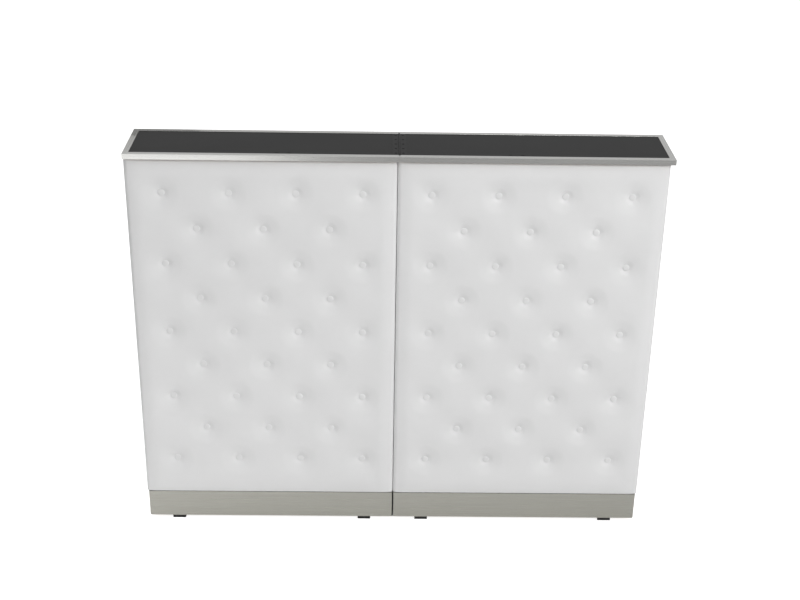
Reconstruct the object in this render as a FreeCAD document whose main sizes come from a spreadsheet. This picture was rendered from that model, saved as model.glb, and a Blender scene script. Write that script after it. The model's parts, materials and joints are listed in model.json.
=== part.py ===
import FreeCAD, Part
import os
import re

import Sketcher

# A portable bar in two sections. The frame has +Z up from the floor, +X to the right of
# someone who faces the tufted front, and the front towards -Y. The seam of the two
# sections is at x = 0 and the middle of the bar top's depth at y = 0. Lengths are in mm.

# Driving sizes
SIZES = {
    # the whole bar
    "bar_width": 1524,  # over both kick plates
    "bar_height": 1219,  # floor to the rim of the top
    "top_depth": 218,
    "top_shift": 5,  # the loose top sits this far to the right of the seam
    "end_overhang": 9.5,  # top beyond the outer ends of the kick plates, if it sat in the middle
    "front_overhang": 12,  # top beyond the kick plates
    "rear_overhang": 10,  # top beyond the back edges of the box
    "seam_gap": 3,  # between the kick plates
    # boards and sheet
    "panel_board": 15,
    "base_board": 18,
    "face_board": 9,  # behind the padding
    "steel_sheet": 1.2,
    # kick plate
    "kick_height": 89,
    "kick_bend": 3,  # outside radius of its bends
    "kick_return": 25,  # at the seam
    # feet
    "foot_height": 15,
    "foot_width": 40,  # square
    "foot_inset": 90,  # from the ends of a section
    "foot_setback": 28,  # from the front and back of the box
    "foot_block": 50,
    "foot_well": 8,  # depth of the hole for the screw's head
    # padding
    "pad_thick": 24,
    "pad_proud": 5,  # in front of the kick plate
    "pad_side": 4.75,  # beyond the kick plate's end
    "pad_seam": 0.4,  # from the seam
    "pad_clear": 1,  # above the kick plate and below the top
    "pad_roll": 16,  # radius of the rolled edge
    "cover_thick": 4,  # vinyl on the end panels
    # tufts
    "tuft_columns": 4,  # in the longer rows; the rows between have one fewer
    "tuft_rows": 9,
    "tuft_side": 94.65,  # first column from the side of the box
    "tuft_top": 119.5,  # first row below the rim of the top
    "tuft_bottom": 121.1,  # last row above the kick plate
    "tuft_radius": 60,
    "tuft_depth": 12,
    "tuft_lift": 0.6,  # the tuft's curve levels out this far above the face
    "button_diameter": 20,
    "button_height": 3.5,
    "button_seat": 1,  # seat wider than the button, at its radius
    # shelves and bottle rails
    "low_shelf": 420,  # upper face above the floor
    "high_shelf": 790,
    "shelf_clear": 0.5,
    "shelf_setback": 5,  # from the back of the box
    "pin_diameter": 5,
    "pin_depth": 9,  # in the panel, and as much under the shelf
    "pin_inset": 30,  # from the front and back edges of the shelf
    "rail_diameter": 8,
    "rail_depth": 7,  # in the panel
    "rail_rise": 64,  # centre above its shelf
    "rail_setback": 12,  # centre from the back of the box
    "hole_clear": 0.1,  # at the radius of pins, rails and dowels
    # bar top
    "top_thick": 16,
    "insert_thick": 2,
    "trim_lip": 17,
    "top_seam": 0.4,
    "seat_gap": 0.4,  # between the top and the boxes under it
    # hinge across the top
    "top_leaf": 20,  # width of a leaf from the seam
    "top_plate": 1.2,
    "top_barrel": 4.2,
    "top_pin": 2.2,
    "top_knuckles": 12,
    "top_hinge_clear": 1,  # from the lips in front and behind
    "top_screws": 5,
    "top_screw_end": 14,  # first screw from the end of the hinge
    "top_screw_line": 10.5,  # from the seam
    # hinge between the sections
    "fold_leaf": 16,
    "fold_plate": 1.5,
    "fold_barrel": 8,
    "fold_pin": 4,
    "fold_knuckles": 30,
    "fold_length": 1000,
    "fold_low": 140,  # lower end above the floor
    "fold_screws": 8,
    "fold_screw_line": 10.5,
    "knuckle_gap": 0.2,  # between neighbouring knuckles
    "barrel_gap": 0.3,  # around a barrel
    "pin_fit": 0.05,  # at the radius of a hinge pin
    # screws
    "screw_head": 7,
    "screw_sink": 1.2,  # depth of the countersunk head
    "screw_shank": 3,
    "screw_length": 10,
    "wood_screw_head": 8,
    "wood_screw_sink": 3,
    "wood_screw_shank": 4,
    "wood_screw_length": 45,
    "wood_screw_inset": 40,  # from the ends of the joint
    "sink_clear": 0.2,  # around a countersunk head
    # keepers, magnets and dowels
    "keeper_offset": 327,  # from the hinge of the top
    "keeper_setback": 28,  # from the front of the top
    "keeper_pitch": 33.5,  # of its two screws
    "keeper_length": 60,
    "keeper_width": 30,
    "keeper_thick": 2,
    "keeper_edge": 5,  # its screws from its front edge
    "magnet_diameter": 14,
    "magnet_thick": 8,
    "magnet_back": 15,  # its middle behind the keeper's screws
    "seam_magnet_thick": 2.2,
    "seam_magnet_low": 320,
    "seam_magnet_high": 980,
    "seam_magnet_inset": 20,  # behind the front board
    "dowel_diameter": 10,
    "dowel_rise": 8,
    "dowel_depth": 10,
    "dowel_clear": 0.5,
    "dowel_inset": 120,  # from the ends of the left section
    # handles
    "handle_height": 800,  # pivot above the floor
    "handle_shift": 18,  # its middle behind the middle of the end
    "handle_plate": 2,
    "handle_length": 120,
    "handle_width": 44,
    "handle_edge": 8,  # its screws from the edges of the plate
    "handle_span": 92,  # between the middles of the bail's legs
    "handle_rod": 7,
    "handle_drop": 42,  # pivot to the middle of the grip
    "handle_bend": 9,
    "pivot_offset": 6,  # pivot from the plate
    "pivot_rod": 5,
    "ear_length": 8,
    "ear_width": 11,
    "ear_gap": 0.5,
}

# Places that follow from the sizes
PLACES = {
    "front_plane": "front_overhang - top_depth / 2",
    "back_plane": "top_depth / 2 - rear_overhang",
    "kick_back": "front_plane + steel_sheet",
    "pad_back": "front_plane - pad_proud + pad_thick",
    "panel_front": "pad_back + face_board",
    "floor_top": "foot_height + kick_height",
    "base_under": "floor_top - base_board",
    "leaf_under": "bar_height - top_thick",
    "deck_top": "leaf_under - seat_gap",
    "deck_under": "deck_top - panel_board",
    "insert_top": "bar_height - steel_sheet",
    "insert_under": "insert_top - insert_thick",
    "inner_near": "seam_gap / 2 + steel_sheet",
    "inner_far": "inner_near + panel_board",
    "outer_far": "bar_width / 2 - steel_sheet",
    "outer_near": "outer_far - panel_board",
    "cover_far": "outer_far + cover_thick",
    "section_mid": "(inner_near + outer_far) / 2",
    "pad_far": "bar_width / 2 + pad_side",
    "pad_low": "floor_top + pad_clear",
    "pad_high": "leaf_under - pad_clear",
    "tuft_high": "bar_height - tuft_top",
    "tuft_low": "floor_top + tuft_bottom",
    "tuft_across": "(outer_far - inner_near - 2 * tuft_side) / (tuft_columns - 1)",
    "tuft_down": "(tuft_high - tuft_low) / (tuft_rows - 1)",
    "tuft_seat": "button_diameter / 2 + button_seat",
    "button_ball": "((button_diameter / 2) ^ 2 + button_height ^ 2) / (2 * button_height)",
    "tuft_rise": "tuft_depth + tuft_lift",
    "tuft_curve": "((tuft_radius - tuft_seat) ^ 2 + tuft_rise ^ 2) / (2 * tuft_rise)",
    "shelf_front": "panel_front + shelf_clear",
    "shelf_back": "back_plane - shelf_setback",
    "rail_line": "back_plane - rail_setback",
    "leaf_near": "top_seam / 2",
    "leaf_far": "bar_width / 2 + end_overhang",
    "core_far": "leaf_far - steel_sheet",
    "core_front": "steel_sheet - top_depth / 2",
    "core_back": "top_depth / 2 - steel_sheet",
    "top_axis": "insert_top + top_barrel / 2 + barrel_gap",
    "top_hinge_length": "top_depth - 2 * trim_lip - 2 * top_hinge_clear",
    "top_screw_pitch": "(top_hinge_length - 2 * top_screw_end) / (top_screws - 1)",
    "fold_axis": "back_plane + fold_barrel / 2 + barrel_gap",
    "keeper_line": "keeper_setback - top_depth / 2",
    "handle_face": "cover_far + handle_plate",
    "pivot_line": "handle_face + pivot_offset",
    "end_mid": "(pad_back + back_plane) / 2",
    "handle_mid": "end_mid + handle_shift",
}

doc = FreeCAD.newDocument("PortableBar")


def words(formula, own=()):
    """A formula in plain size names, with each name led by its sheet."""
    def full(match):
        name = match.group(0)
        if name in own:
            return name
        if name in SIZES:
            return "Sizes." + name
        if name in PLACES:
            return "Places." + name
        return name
    return re.sub(r"[a-z][a-z_]*", full, str(formula))


def fill_sheet(name, cells):
    """Write one named cell a row."""
    sheet = doc.addObject("Spreadsheet::Sheet", name)
    for row, (alias, text) in enumerate(cells.items(), start=1):
        sheet.set(f"A{row}", alias)
        sheet.set(f"B{row}", text)
        sheet.setAlias(f"B{row}", alias)
    doc.recompute()
    return sheet


sizes = fill_sheet("Sizes", {name: str(number) for name, number in SIZES.items()})
places = fill_sheet("Places", {name: "=" + words(rule, PLACES) for name, rule in PLACES.items()})


def value(formula):
    """The number that a formula gives now."""
    return float(places.evalExpression(words(formula)))


def bind(thing, prop, formula):
    """Tie one property of a document object to the sheets."""
    thing.setExpression(prop, words(formula))


def turn(thing, axis):
    """Lay a part that is made along Z along another axis."""
    turns = {
        "+x": FreeCAD.Rotation(FreeCAD.Vector(0, 1, 0), 90),
        "-x": FreeCAD.Rotation(FreeCAD.Vector(0, 1, 0), -90),
        "+y": FreeCAD.Rotation(FreeCAD.Vector(1, 0, 0), -90),
        "-y": FreeCAD.Rotation(FreeCAD.Vector(1, 0, 0), 90),
        "+z": FreeCAD.Rotation(),
        "-z": FreeCAD.Rotation(FreeCAD.Vector(1, 0, 0), 180),
    }
    thing.Placement = FreeCAD.Placement(FreeCAD.Vector(), turns[axis])


def put(thing, x, y, z):
    """Tie the place of a part to the sheets."""
    bind(thing, "Placement.Base.x", x)
    bind(thing, "Placement.Base.y", y)
    bind(thing, "Placement.Base.z", z)


def box(label, x, y, z):
    """A board between two places along each axis."""
    solid = doc.addObject("Part::Box", label)
    for prop, (low, high) in (("Length", x), ("Width", y), ("Height", z)):
        bind(solid, prop, f"({high}) - ({low})")
    put(solid, x[0], y[0], z[0])
    return solid


def rod(label, axis, place, diameter, length):
    """A round bar that starts at a place and runs along an axis."""
    solid = doc.addObject("Part::Cylinder", label)
    bind(solid, "Radius", f"({diameter}) / 2")
    bind(solid, "Height", length)
    turn(solid, axis)
    put(solid, *place)
    return solid


def cone(label, axis, place, first, last, length):
    """A cone from one diameter to another."""
    solid = doc.addObject("Part::Cone", label)
    bind(solid, "Radius1", f"({first}) / 2")
    bind(solid, "Radius2", f"({last}) / 2")
    bind(solid, "Height", length)
    turn(solid, axis)
    put(solid, *place)
    return solid


def group(label, members):
    """Separate solids in one node."""
    solid = doc.addObject("Part::Compound", label)
    solid.Links = members
    return solid


def fuse(label, members):
    solid = doc.addObject("Part::MultiFuse", label)
    solid.Shapes = members
    solid.Refine = True
    return solid


def cut(label, base, tool):
    solid = doc.addObject("Part::Cut", label)
    solid.Base = base
    solid.Tool = tool
    return solid


def screw(label, axis, place, head, sink, shank, length):
    """A countersunk screw, its flat head at a place and its point along an axis."""
    step = {"x": ("1", "0", "0"), "y": ("0", "1", "0"), "z": ("0", "0", "1")}[axis[1]]
    under = [f"({p}) {axis[0]} {s} * {sink}" for p, s in zip(place, step)]
    top = cone(label + "_head", axis, place, head, shank, sink)
    stem = rod(label + "_stem", axis, under, shank, f"{length} - {sink}")
    return fuse(label, [top, stem])


def small_screw(label, axis, place):
    return screw(label, axis, place, "screw_head", "screw_sink", "screw_shank", "screw_length")


def wood_screw(label, axis, place):
    return screw(label, axis, place, "wood_screw_head", "wood_screw_sink", "wood_screw_shank",
                 "wood_screw_length")


def outline(body, name, plane, points, lift="0"):
    """A closed sketch of straight lines whose corners are tied to the sheets."""
    sketch = body.newObject("Sketcher::SketchObject", name)
    planes = {part.Role: part for part in body.Origin.OriginFeatures}
    sketch.AttachmentSupport = [(planes[plane], "")]
    sketch.MapMode = "FlatFace"
    bind(sketch, "AttachmentOffset.Base.z", lift)
    corners = [FreeCAD.Vector(value(x), value(y), 0) for x, y in points]
    count = len(points)
    for i in range(count):
        sketch.addGeometry(Part.LineSegment(corners[i], corners[(i + 1) % count]))
    for i in range(count):
        sketch.addConstraint(Sketcher.Constraint("Coincident", i, 2, (i + 1) % count, 1))
    for i, point in enumerate(points):
        for kind, rule, place in (("DistanceX", point[0], corners[i].x),
                                  ("DistanceY", point[1], corners[i].y)):
            n = sketch.addConstraint(Sketcher.Constraint(kind, -1, 1, i, 1, place))
            sketch.setExpression(f"Constraints[{n}]", words(rule))
    return sketch


def ring(body, name, plane, x, y, diameter, lift="0"):
    """A sketch of one circle."""
    sketch = body.newObject("Sketcher::SketchObject", name)
    planes = {part.Role: part for part in body.Origin.OriginFeatures}
    sketch.AttachmentSupport = [(planes[plane], "")]
    sketch.MapMode = "FlatFace"
    bind(sketch, "AttachmentOffset.Base.z", lift)
    centre = FreeCAD.Vector(value(x), value(y), 0)
    circle = Part.Circle(centre, FreeCAD.Vector(0, 0, 1), value(diameter) / 2)
    sketch.addGeometry(circle)
    for kind, rule, place in (("DistanceX", x, centre.x), ("DistanceY", y, centre.y)):
        n = sketch.addConstraint(Sketcher.Constraint(kind, -1, 1, 0, 3, place))
        sketch.setExpression(f"Constraints[{n}]", words(rule))
    n = sketch.addConstraint(Sketcher.Constraint("Diameter", 0, value(diameter)))
    sketch.setExpression(f"Constraints[{n}]", words(diameter))
    return sketch


def pad(body, name, sketch, length):
    feature = body.newObject("PartDesign::Pad", name)
    feature.Profile = sketch
    bind(feature, "Length", length)
    return feature


def mirrored(side, near, far):
    """A stretch of x, from distances to the seam."""
    return (near, far) if side == "right" else (f"-({far})", f"-({near})")


def at_side(side, distance):
    """A place in x, from its distance to the seam."""
    return distance if side == "right" else f"-({distance})"


SIDES = ("left", "right")
OUTWARD = {"left": "-x", "right": "+x"}
INWARD = {"left": "+x", "right": "-x"}
NEAR = 0.01  # places closer than this are the same
nodes = []


def at_top(side, distance):
    """A place in x on the bar top, from its distance to the hinge of the top."""
    return f"top_shift + {distance}" if side == "right" else f"top_shift - ({distance})"


def on_top(side, near, far):
    """A stretch of x on the bar top."""
    if side == "right":
        return at_top(side, near), at_top(side, far)
    return at_top(side, far), at_top(side, near)


def upright_edges(shape, places):
    """Names of the vertical edges at the given places in x and y."""
    names = []
    for i, edge in enumerate(shape.Edges, start=1):
        low, high = (v.Point for v in (edge.Vertexes[0], edge.Vertexes[-1]))
        for x, y in places:
            spot = FreeCAD.Vector(x, y, low.z)
            if low.distanceToPoint(spot) < NEAR and abs(high.x - x) + abs(high.y - y) < NEAR:
                names.append(f"Edge{i}")
    return names


def eased(label, blank, side):
    """A board with its front corners rounded to clear the bends of the kick plate."""
    doc.recompute()
    corners = [(value(at_side(side, x)), value("kick_back")) for x in ("inner_near", "outer_far")]
    solid = doc.addObject("Part::Fillet", label)
    solid.Base = blank
    radius = value("kick_bend")
    solid.Edges = [(int(name[len("Edge"):]), radius, radius)
                   for name in upright_edges(blank.Shape, corners)]
    return solid


def dowel_lines():
    return "-inner_near - dowel_inset", "dowel_inset - outer_far"


# The box of each section: bottom, front, end and top boards
def make_box(side):
    full = mirrored(side, "inner_near", "outer_far")
    upright = ("floor_top", "deck_under")
    blank = box(f"bottom_board_{side}_blank", full, ("kick_back", "back_plane"), ("base_under", "floor_top"))
    nodes.append(eased(f"bottom_board_{side}", blank, side))
    nodes.append(box(f"front_board_{side}", full, ("pad_back", "panel_front"), upright))

    # pins and rails sit in blind holes in the end panels
    ends = (
        ("inner", mirrored(side, "inner_near", "inner_far"), at_side(side, "inner_far"), INWARD[side]),
        ("outer", mirrored(side, "outer_near", "outer_far"), at_side(side, "outer_near"), OUTWARD[side]),
    )
    for end, stretch, face, into in ends:
        name = f"{end}_end_panel_{side}"
        holes = []
        for shelf in ("low_shelf", "high_shelf"):
            for row, line in (("front", "shelf_front + pin_inset"), ("back", "shelf_back - pin_inset")):
                place = (face, line, f"{shelf} - panel_board - pin_diameter / 2")
                holes.append(rod(f"{name}_{shelf}_{row}", into, place, "pin_diameter + 2 * hole_clear",
                                 "pin_depth"))
        for level in ("floor_top", "low_shelf", "high_shelf"):
            place = (face, "rail_line", f"{level} + rail_rise")
            holes.append(rod(f"{name}_{level}_rail", into, place, "rail_diameter + 2 * hole_clear",
                             "rail_depth"))
        blank = box(name + "_blank", stretch, ("panel_front", "back_plane"), upright)
        nodes.append(cut(name, blank, group(name + "_holes", holes)))

    # the top board holds a magnet, and the left one also the dowels of the loose top
    name = f"top_board_{side}"
    spot = (at_top(side, "keeper_offset"), "keeper_line + magnet_back", "deck_top")
    holes = [rod(name + "_magnet", "-z", spot, "magnet_diameter + 2 * hole_clear", "magnet_thick")]
    if side == "left":
        for i, line in enumerate(dowel_lines()):
            holes.append(rod(f"{name}_dowel_{i}", "-z", (line, "end_mid", "deck_top"),
                             "dowel_diameter + 2 * hole_clear", "dowel_depth"))
    blank = box(name + "_blank", full, ("pad_back", "back_plane"), ("deck_under", "deck_top"))
    nodes.append(cut(name, blank, group(name + "_holes", holes)))
    nodes.append(rod(f"top_magnet_{side}", "-z", spot, "magnet_diameter", "magnet_thick"))


# The plinth: four rails, a block above each foot, and the feet with their screws
def make_plinth(side):
    height = ("foot_height", "base_under")
    inside = ("kick_back + base_board", "back_plane - base_board")
    full = mirrored(side, "inner_near", "outer_far")
    blank = box(f"plinth_front_{side}_blank", full, ("kick_back", inside[0]), height)
    rails = [
        eased(f"plinth_front_{side}", blank, side),
        box(f"plinth_back_{side}", full, (inside[1], "back_plane"), height),
        box(f"plinth_inner_{side}", mirrored(side, "inner_near", "inner_near + base_board"), inside, height),
        box(f"plinth_outer_{side}", mirrored(side, "outer_far - base_board", "outer_far"), inside, height),
    ]
    blocks = []
    feet = []
    screws = []
    for end, along in (("inner", "foot_inset"), ("outer", "bar_width / 2 - foot_inset")):
        stretch = mirrored(side, f"{along} - foot_block / 2", f"{along} + foot_block / 2")
        x = at_side(side, along)
        for row, depth, y in (
            ("front", (inside[0], f"{inside[0]} + foot_block"), "front_plane + foot_setback"),
            ("back", (f"{inside[1]} - foot_block", inside[1]), "back_plane - foot_setback"),
        ):
            tag = f"{end}_{row}_{side}"
            blocks.append(box("foot_block_" + tag, stretch, depth, height))
            body = box("foot_body_" + tag,
                       mirrored(side, f"{along} - foot_width / 2", f"{along} + foot_width / 2"),
                       (f"{y} - foot_width / 2", f"{y} + foot_width / 2"), ("0", "foot_height"))
            well = rod("foot_well_" + tag, "+z", (x, y, "0"), "wood_screw_head + 2 * sink_clear",
                       "foot_well")
            bore = rod("foot_bore_" + tag, "+z", (x, y, "0"), "wood_screw_shank + 2 * hole_clear",
                       "foot_height")
            feet.append(cut("foot_" + tag, body, fuse("foot_hole_" + tag, [well, bore])))

            # a pan head that bears on the end of the well
            head = rod("foot_screw_head_" + tag, "-z", (x, y, "foot_well"), "wood_screw_head",
                       "wood_screw_sink")
            stem = rod("foot_screw_stem_" + tag, "+z", (x, y, "foot_well"), "wood_screw_shank",
                       "wood_screw_length")
            screws.append(fuse("foot_screw_" + tag, [head, stem]))
    nodes.append(group(f"plinth_rails_{side}", rails))
    nodes.append(group(f"foot_blocks_{side}", blocks))
    nodes.append(group(f"rubber_feet_{side}", feet))
    return screws


# The screws that hold the box together
def make_box_screws(side):
    screws = []
    for end, along in (("inner", "inner_near + panel_board / 2"), ("outer", "outer_far - panel_board / 2")):
        x = at_side(side, along)
        for row, y in (("front", "panel_front + wood_screw_inset"), ("back", "back_plane - wood_screw_inset")):
            tag = f"{end}_{row}_{side}"
            screws.append(wood_screw("deck_screw_" + tag, "-z", (x, y, "deck_top")))
            screws.append(wood_screw("base_screw_" + tag, "+z", (x, y, "base_under")))
        for row, z in (
            ("low", "floor_top + 2 * wood_screw_inset"),
            ("mid", "(floor_top + deck_under) / 2"),
            ("high", "deck_under - 2 * wood_screw_inset"),
        ):
            screws.append(wood_screw(f"face_screw_{end}_{row}_{side}", "+y", (x, "pad_back", z)))
    return screws


# Shelves on pins, and a bottle rail above each floor of the box
def make_shelves(side):
    stretch = mirrored(side, "inner_far + shelf_clear", "outer_near - shelf_clear")
    shelves = []
    pins = []
    rails = []
    for shelf in ("low_shelf", "high_shelf"):
        shelves.append(box(f"{shelf}_{side}", stretch, ("shelf_front", "shelf_back"),
                           (f"{shelf} - panel_board", shelf)))
        for end, face, into in (
            ("inner", "inner_far - pin_depth", OUTWARD[side]),
            ("outer", "outer_near + pin_depth", INWARD[side]),
        ):
            for row, line in (("front", "shelf_front + pin_inset"), ("back", "shelf_back - pin_inset")):
                place = (at_side(side, face), line, f"{shelf} - panel_board - pin_diameter / 2")
                pins.append(rod(f"pin_{shelf}_{end}_{row}_{side}", into, place, "pin_diameter",
                                "2 * pin_depth"))
    for level in ("floor_top", "low_shelf", "high_shelf"):
        place = (at_side(side, "inner_far - rail_depth"), "rail_line", f"{level} + rail_rise")
        rails.append(rod(f"rail_{level}_{side}", OUTWARD[side], place, "rail_diameter",
                         "outer_near - inner_far + 2 * rail_depth"))
    nodes.append(group(f"shelves_{side}", shelves))
    nodes.append(group(f"shelf_pins_{side}", pins))
    nodes.append(group(f"bottle_rails_{side}", rails))


# The kick plate: one bent sheet round the front, the outer end and the seam
def make_kick_plate(side):
    body = doc.addObject("PartDesign::Body", f"kick_plate_{side}")
    seam, end = "seam_gap / 2", "bar_width / 2"
    path = [
        (seam, "front_plane + kick_return"),
        (seam, "front_plane"),
        (end, "front_plane"),
        (end, "back_plane"),
        (f"{end} - steel_sheet", "back_plane"),
        (f"{end} - steel_sheet", "kick_back"),
        (f"{seam} + steel_sheet", "kick_back"),
        (f"{seam} + steel_sheet", "front_plane + kick_return"),
    ]
    points = [(at_side(side, x), y) for x, y in path]
    feature = pad(body, f"kick_bend_{side}", outline(body, f"kick_path_{side}", "XY_Plane", points,
                                                     "foot_height"), "kick_height")
    doc.recompute()
    for name, corners, radius in (
        ("outside", points[1:3], "kick_bend"),
        ("inside", points[5:7], "kick_bend - steel_sheet"),
    ):
        places_now = [(value(x), value(y)) for x, y in corners]
        bend = body.newObject("PartDesign::Fillet", f"kick_{name}_{side}")
        bend.Base = (feature, upright_edges(feature.Shape, places_now))
        bind(bend, "Radius", radius)
        doc.recompute()
        feature = bend
    body.Tip = feature
    nodes.append(body)


def tuft_start(side, count, row):
    """The first tuft of a row, counted from the top, on the front of a section."""
    x = f"{at_side(side, 'section_mid')} - {count - 1} / 2 * tuft_across"
    return x, f"tuft_high - {row} * tuft_down"


# The padded front, its buttons and the vinyl on the outer end
def make_padding(side):
    near, far = mirrored(side, "pad_seam", "pad_far")
    points = [(near, "pad_low"), (far, "pad_low"), (far, "pad_high"), (near, "pad_high")]
    body = doc.addObject("PartDesign::Body", f"tufted_pad_{side}")
    turn(body, "-y")
    put(body, "0", "pad_back", "0")
    slab = pad(body, f"pad_slab_{side}", outline(body, f"pad_outline_{side}", "XY_Plane", points),
               "pad_thick")
    doc.recompute()
    roll = body.newObject("PartDesign::Fillet", f"pad_edge_{side}")
    front = value("pad_thick")
    roll.Base = (slab, [f"Edge{i}" for i, edge in enumerate(slab.Shape.Edges, start=1)
                        if abs(edge.BoundBox.ZMin - front) < NEAR])
    bind(roll, "Radius", "pad_roll")
    doc.recompute()
    planes = {part.Role: part for part in body.Origin.OriginFeatures}
    buttons = []
    tip = roll
    columns, all_rows = round(value("tuft_columns")), round(value("tuft_rows"))
    for name, count, rows, row in (("long", columns, (all_rows + 1) // 2, 0),
                                   ("short", columns - 1, all_rows // 2, 1)):
        x, z = tuft_start(side, count, row)
        sketch = tuft_profile(body, f"tuft_{name}_{side}", x, z)
        groove = body.newObject("PartDesign::Groove", f"tuft_groove_{name}_{side}")
        groove.Profile = sketch
        groove.ReferenceAxis = (sketch, ["Axis0"])
        groove.Angle = 360
        doc.recompute()
        across = body.newObject("PartDesign::LinearPattern", f"tuft_across_{name}_{side}")
        across.Direction = (planes["X_Axis"], [""])
        bind(across, "Length", f"{count - 1} * tuft_across")
        across.Occurrences = count
        down = body.newObject("PartDesign::LinearPattern", f"tuft_down_{name}_{side}")
        down.Direction = (planes["Y_Axis"], [""])
        down.Reversed = True
        bind(down, "Length", f"{rows - 1} * 2 * tuft_down")
        down.Occurrences = rows
        tip = body.newObject("PartDesign::MultiTransform", f"tufts_{name}_{side}")
        tip.Originals = [groove]
        tip.Transformations = [across, down]
        body.Tip = tip
        doc.recompute()
        for i in range(count):
            for j in range(rows):
                buttons.append(button(f"button_{name}_{i}_{j}_{side}", f"{x} + {i} * tuft_across",
                                      f"{z} - {2 * j} * tuft_down"))
    nodes.append(body)
    nodes.append(group(f"tuft_buttons_{side}", buttons))
    nodes.append(box(f"end_cover_{side}", mirrored(side, "outer_far", "cover_far"),
                     ("pad_back", "back_plane"), ("pad_low", "deck_top")))


def tuft_profile(body, name, x, z):
    """Half of a tuft: a flat seat for the button, and a swelling curve up to the face."""
    seat = "pad_thick - tuft_depth"
    rim = "pad_thick + tuft_lift"
    points = [
        (x, seat),
        (f"{x} + tuft_seat", seat),
        (f"{x} + tuft_radius", rim),
        (x, rim),
    ]
    sketch = body.newObject("Sketcher::SketchObject", name)
    planes = {part.Role: part for part in body.Origin.OriginFeatures}
    sketch.AttachmentSupport = [(planes["XZ_Plane"], "")]
    sketch.MapMode = "FlatFace"
    bind(sketch, "AttachmentOffset.Base.z", f"-({z})")
    corners = [FreeCAD.Vector(value(a), value(b), 0) for a, b in points]
    radius = value("tuft_curve")
    centre = corners[2] - FreeCAD.Vector(0, radius, 0)
    spoke = (corners[1] - centre).normalize() + FreeCAD.Vector(0, 1, 0)
    middle = centre + spoke.normalize() * radius
    sketch.addGeometry(Part.LineSegment(corners[0], corners[1]))
    sketch.addGeometry(Part.Arc(corners[1], middle, corners[2]))
    sketch.addGeometry(Part.LineSegment(corners[2], corners[3]))
    sketch.addGeometry(Part.LineSegment(corners[3], corners[0]))
    sketch.addGeometry(Part.LineSegment(corners[0], corners[3]), True)

    # the arc runs from the rim to the seat
    joints = ((0, 2, 1, 2), (1, 1, 2, 1), (2, 2, 3, 1), (3, 2, 0, 1), (0, 1, 4, 1), (2, 2, 4, 2))
    for first, end, second, start in joints:
        sketch.addConstraint(Sketcher.Constraint("Coincident", first, end, second, start))
    for line, end, (a, b) in ((0, 1, points[0]), (0, 2, points[1]), (2, 1, points[2]), (2, 2, points[3])):
        for kind, rule in (("DistanceX", a), ("DistanceY", b)):
            n = sketch.addConstraint(Sketcher.Constraint(kind, -1, 1, line, end, value(rule)))
            sketch.setExpression(f"Constraints[{n}]", words(rule))
    n = sketch.addConstraint(Sketcher.Constraint("Radius", 1, radius))
    sketch.setExpression(f"Constraints[{n}]", words("tuft_curve"))
    return sketch


def button(label, x, z):
    """A domed button: the cap of a ball, flat on its seat."""
    cap = doc.addObject("Part::Sphere", label)
    bind(cap, "Radius", "button_ball")
    bind(cap, "Angle1", "asin((button_ball - button_height) / button_ball)")
    turn(cap, "-y")
    put(cap, x, "pad_back - pad_thick + tuft_depth + button_ball - button_height", z)
    return cap


# Half of the bar top: core, insert, and a frame of angle with mitred corners
def make_top(side):
    stretch = on_top(side, "leaf_near", "core_far")
    depth = ("core_front", "core_back")
    holes = [box(f"keeper_pocket_{side}",
                 on_top(side, "keeper_offset - keeper_length / 2", "keeper_offset + keeper_length / 2"),
                 ("keeper_line - keeper_edge", "keeper_line - keeper_edge + keeper_width"),
                 ("leaf_under", "leaf_under + keeper_thick"))]
    keeper = box(f"keeper_plate_{side}",
                 on_top(side, "keeper_offset - keeper_length / 2", "keeper_offset + keeper_length / 2"),
                 ("keeper_line - keeper_edge", "keeper_line - keeper_edge + keeper_width"),
                 ("leaf_under", "leaf_under + keeper_thick"))
    if side == "left":
        for i, line in enumerate(dowel_lines()):
            holes.append(rod(f"dowel_socket_{i}", "+z", (line, "end_mid", "leaf_under"),
                             "dowel_diameter + 2 * dowel_clear", "dowel_rise + dowel_clear"))
    blank = box(f"top_core_{side}_blank", stretch, depth, ("leaf_under", "insert_under"))
    nodes.append(cut(f"top_core_{side}", blank, group(f"top_core_{side}_holes", holes)))
    nodes.append(box(f"top_insert_{side}", stretch, depth, ("insert_under", "insert_top")))
    nodes.append(keeper)

    front, back = "-top_depth / 2", "top_depth / 2"
    bars = []
    for name, shape in (
        ("front", lambda w: [("leaf_near", front), ("leaf_far", front),
                             (f"leaf_far - {w}", f"{front} + {w}"), ("leaf_near", f"{front} + {w}")]),
        ("back", lambda w: [("leaf_near", back), ("leaf_far", back),
                            (f"leaf_far - {w}", f"{back} - {w}"), ("leaf_near", f"{back} - {w}")]),
        ("end", lambda w: [("leaf_far", front), ("leaf_far", back),
                           (f"leaf_far - {w}", f"{back} - {w}"), (f"leaf_far - {w}", f"{front} + {w}")]),
    ):
        body = doc.addObject("PartDesign::Body", f"trim_{name}_{side}")
        tip = None
        for flange, width, level, height in (
            ("skirt", "steel_sheet", "leaf_under", "top_thick"),
            ("lip", "trim_lip", "insert_top", "steel_sheet"),
        ):
            points = [(at_top(side, x), y) for x, y in shape(width)]
            sketch = outline(body, f"{name}_{flange}_path_{side}", "XY_Plane", points, level)
            tip = pad(body, f"{name}_{flange}_{side}", sketch, height)
            doc.recompute()
        body.Tip = tip
        bars.append(body)
    nodes.append(group(f"top_trim_{side}", bars))


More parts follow.
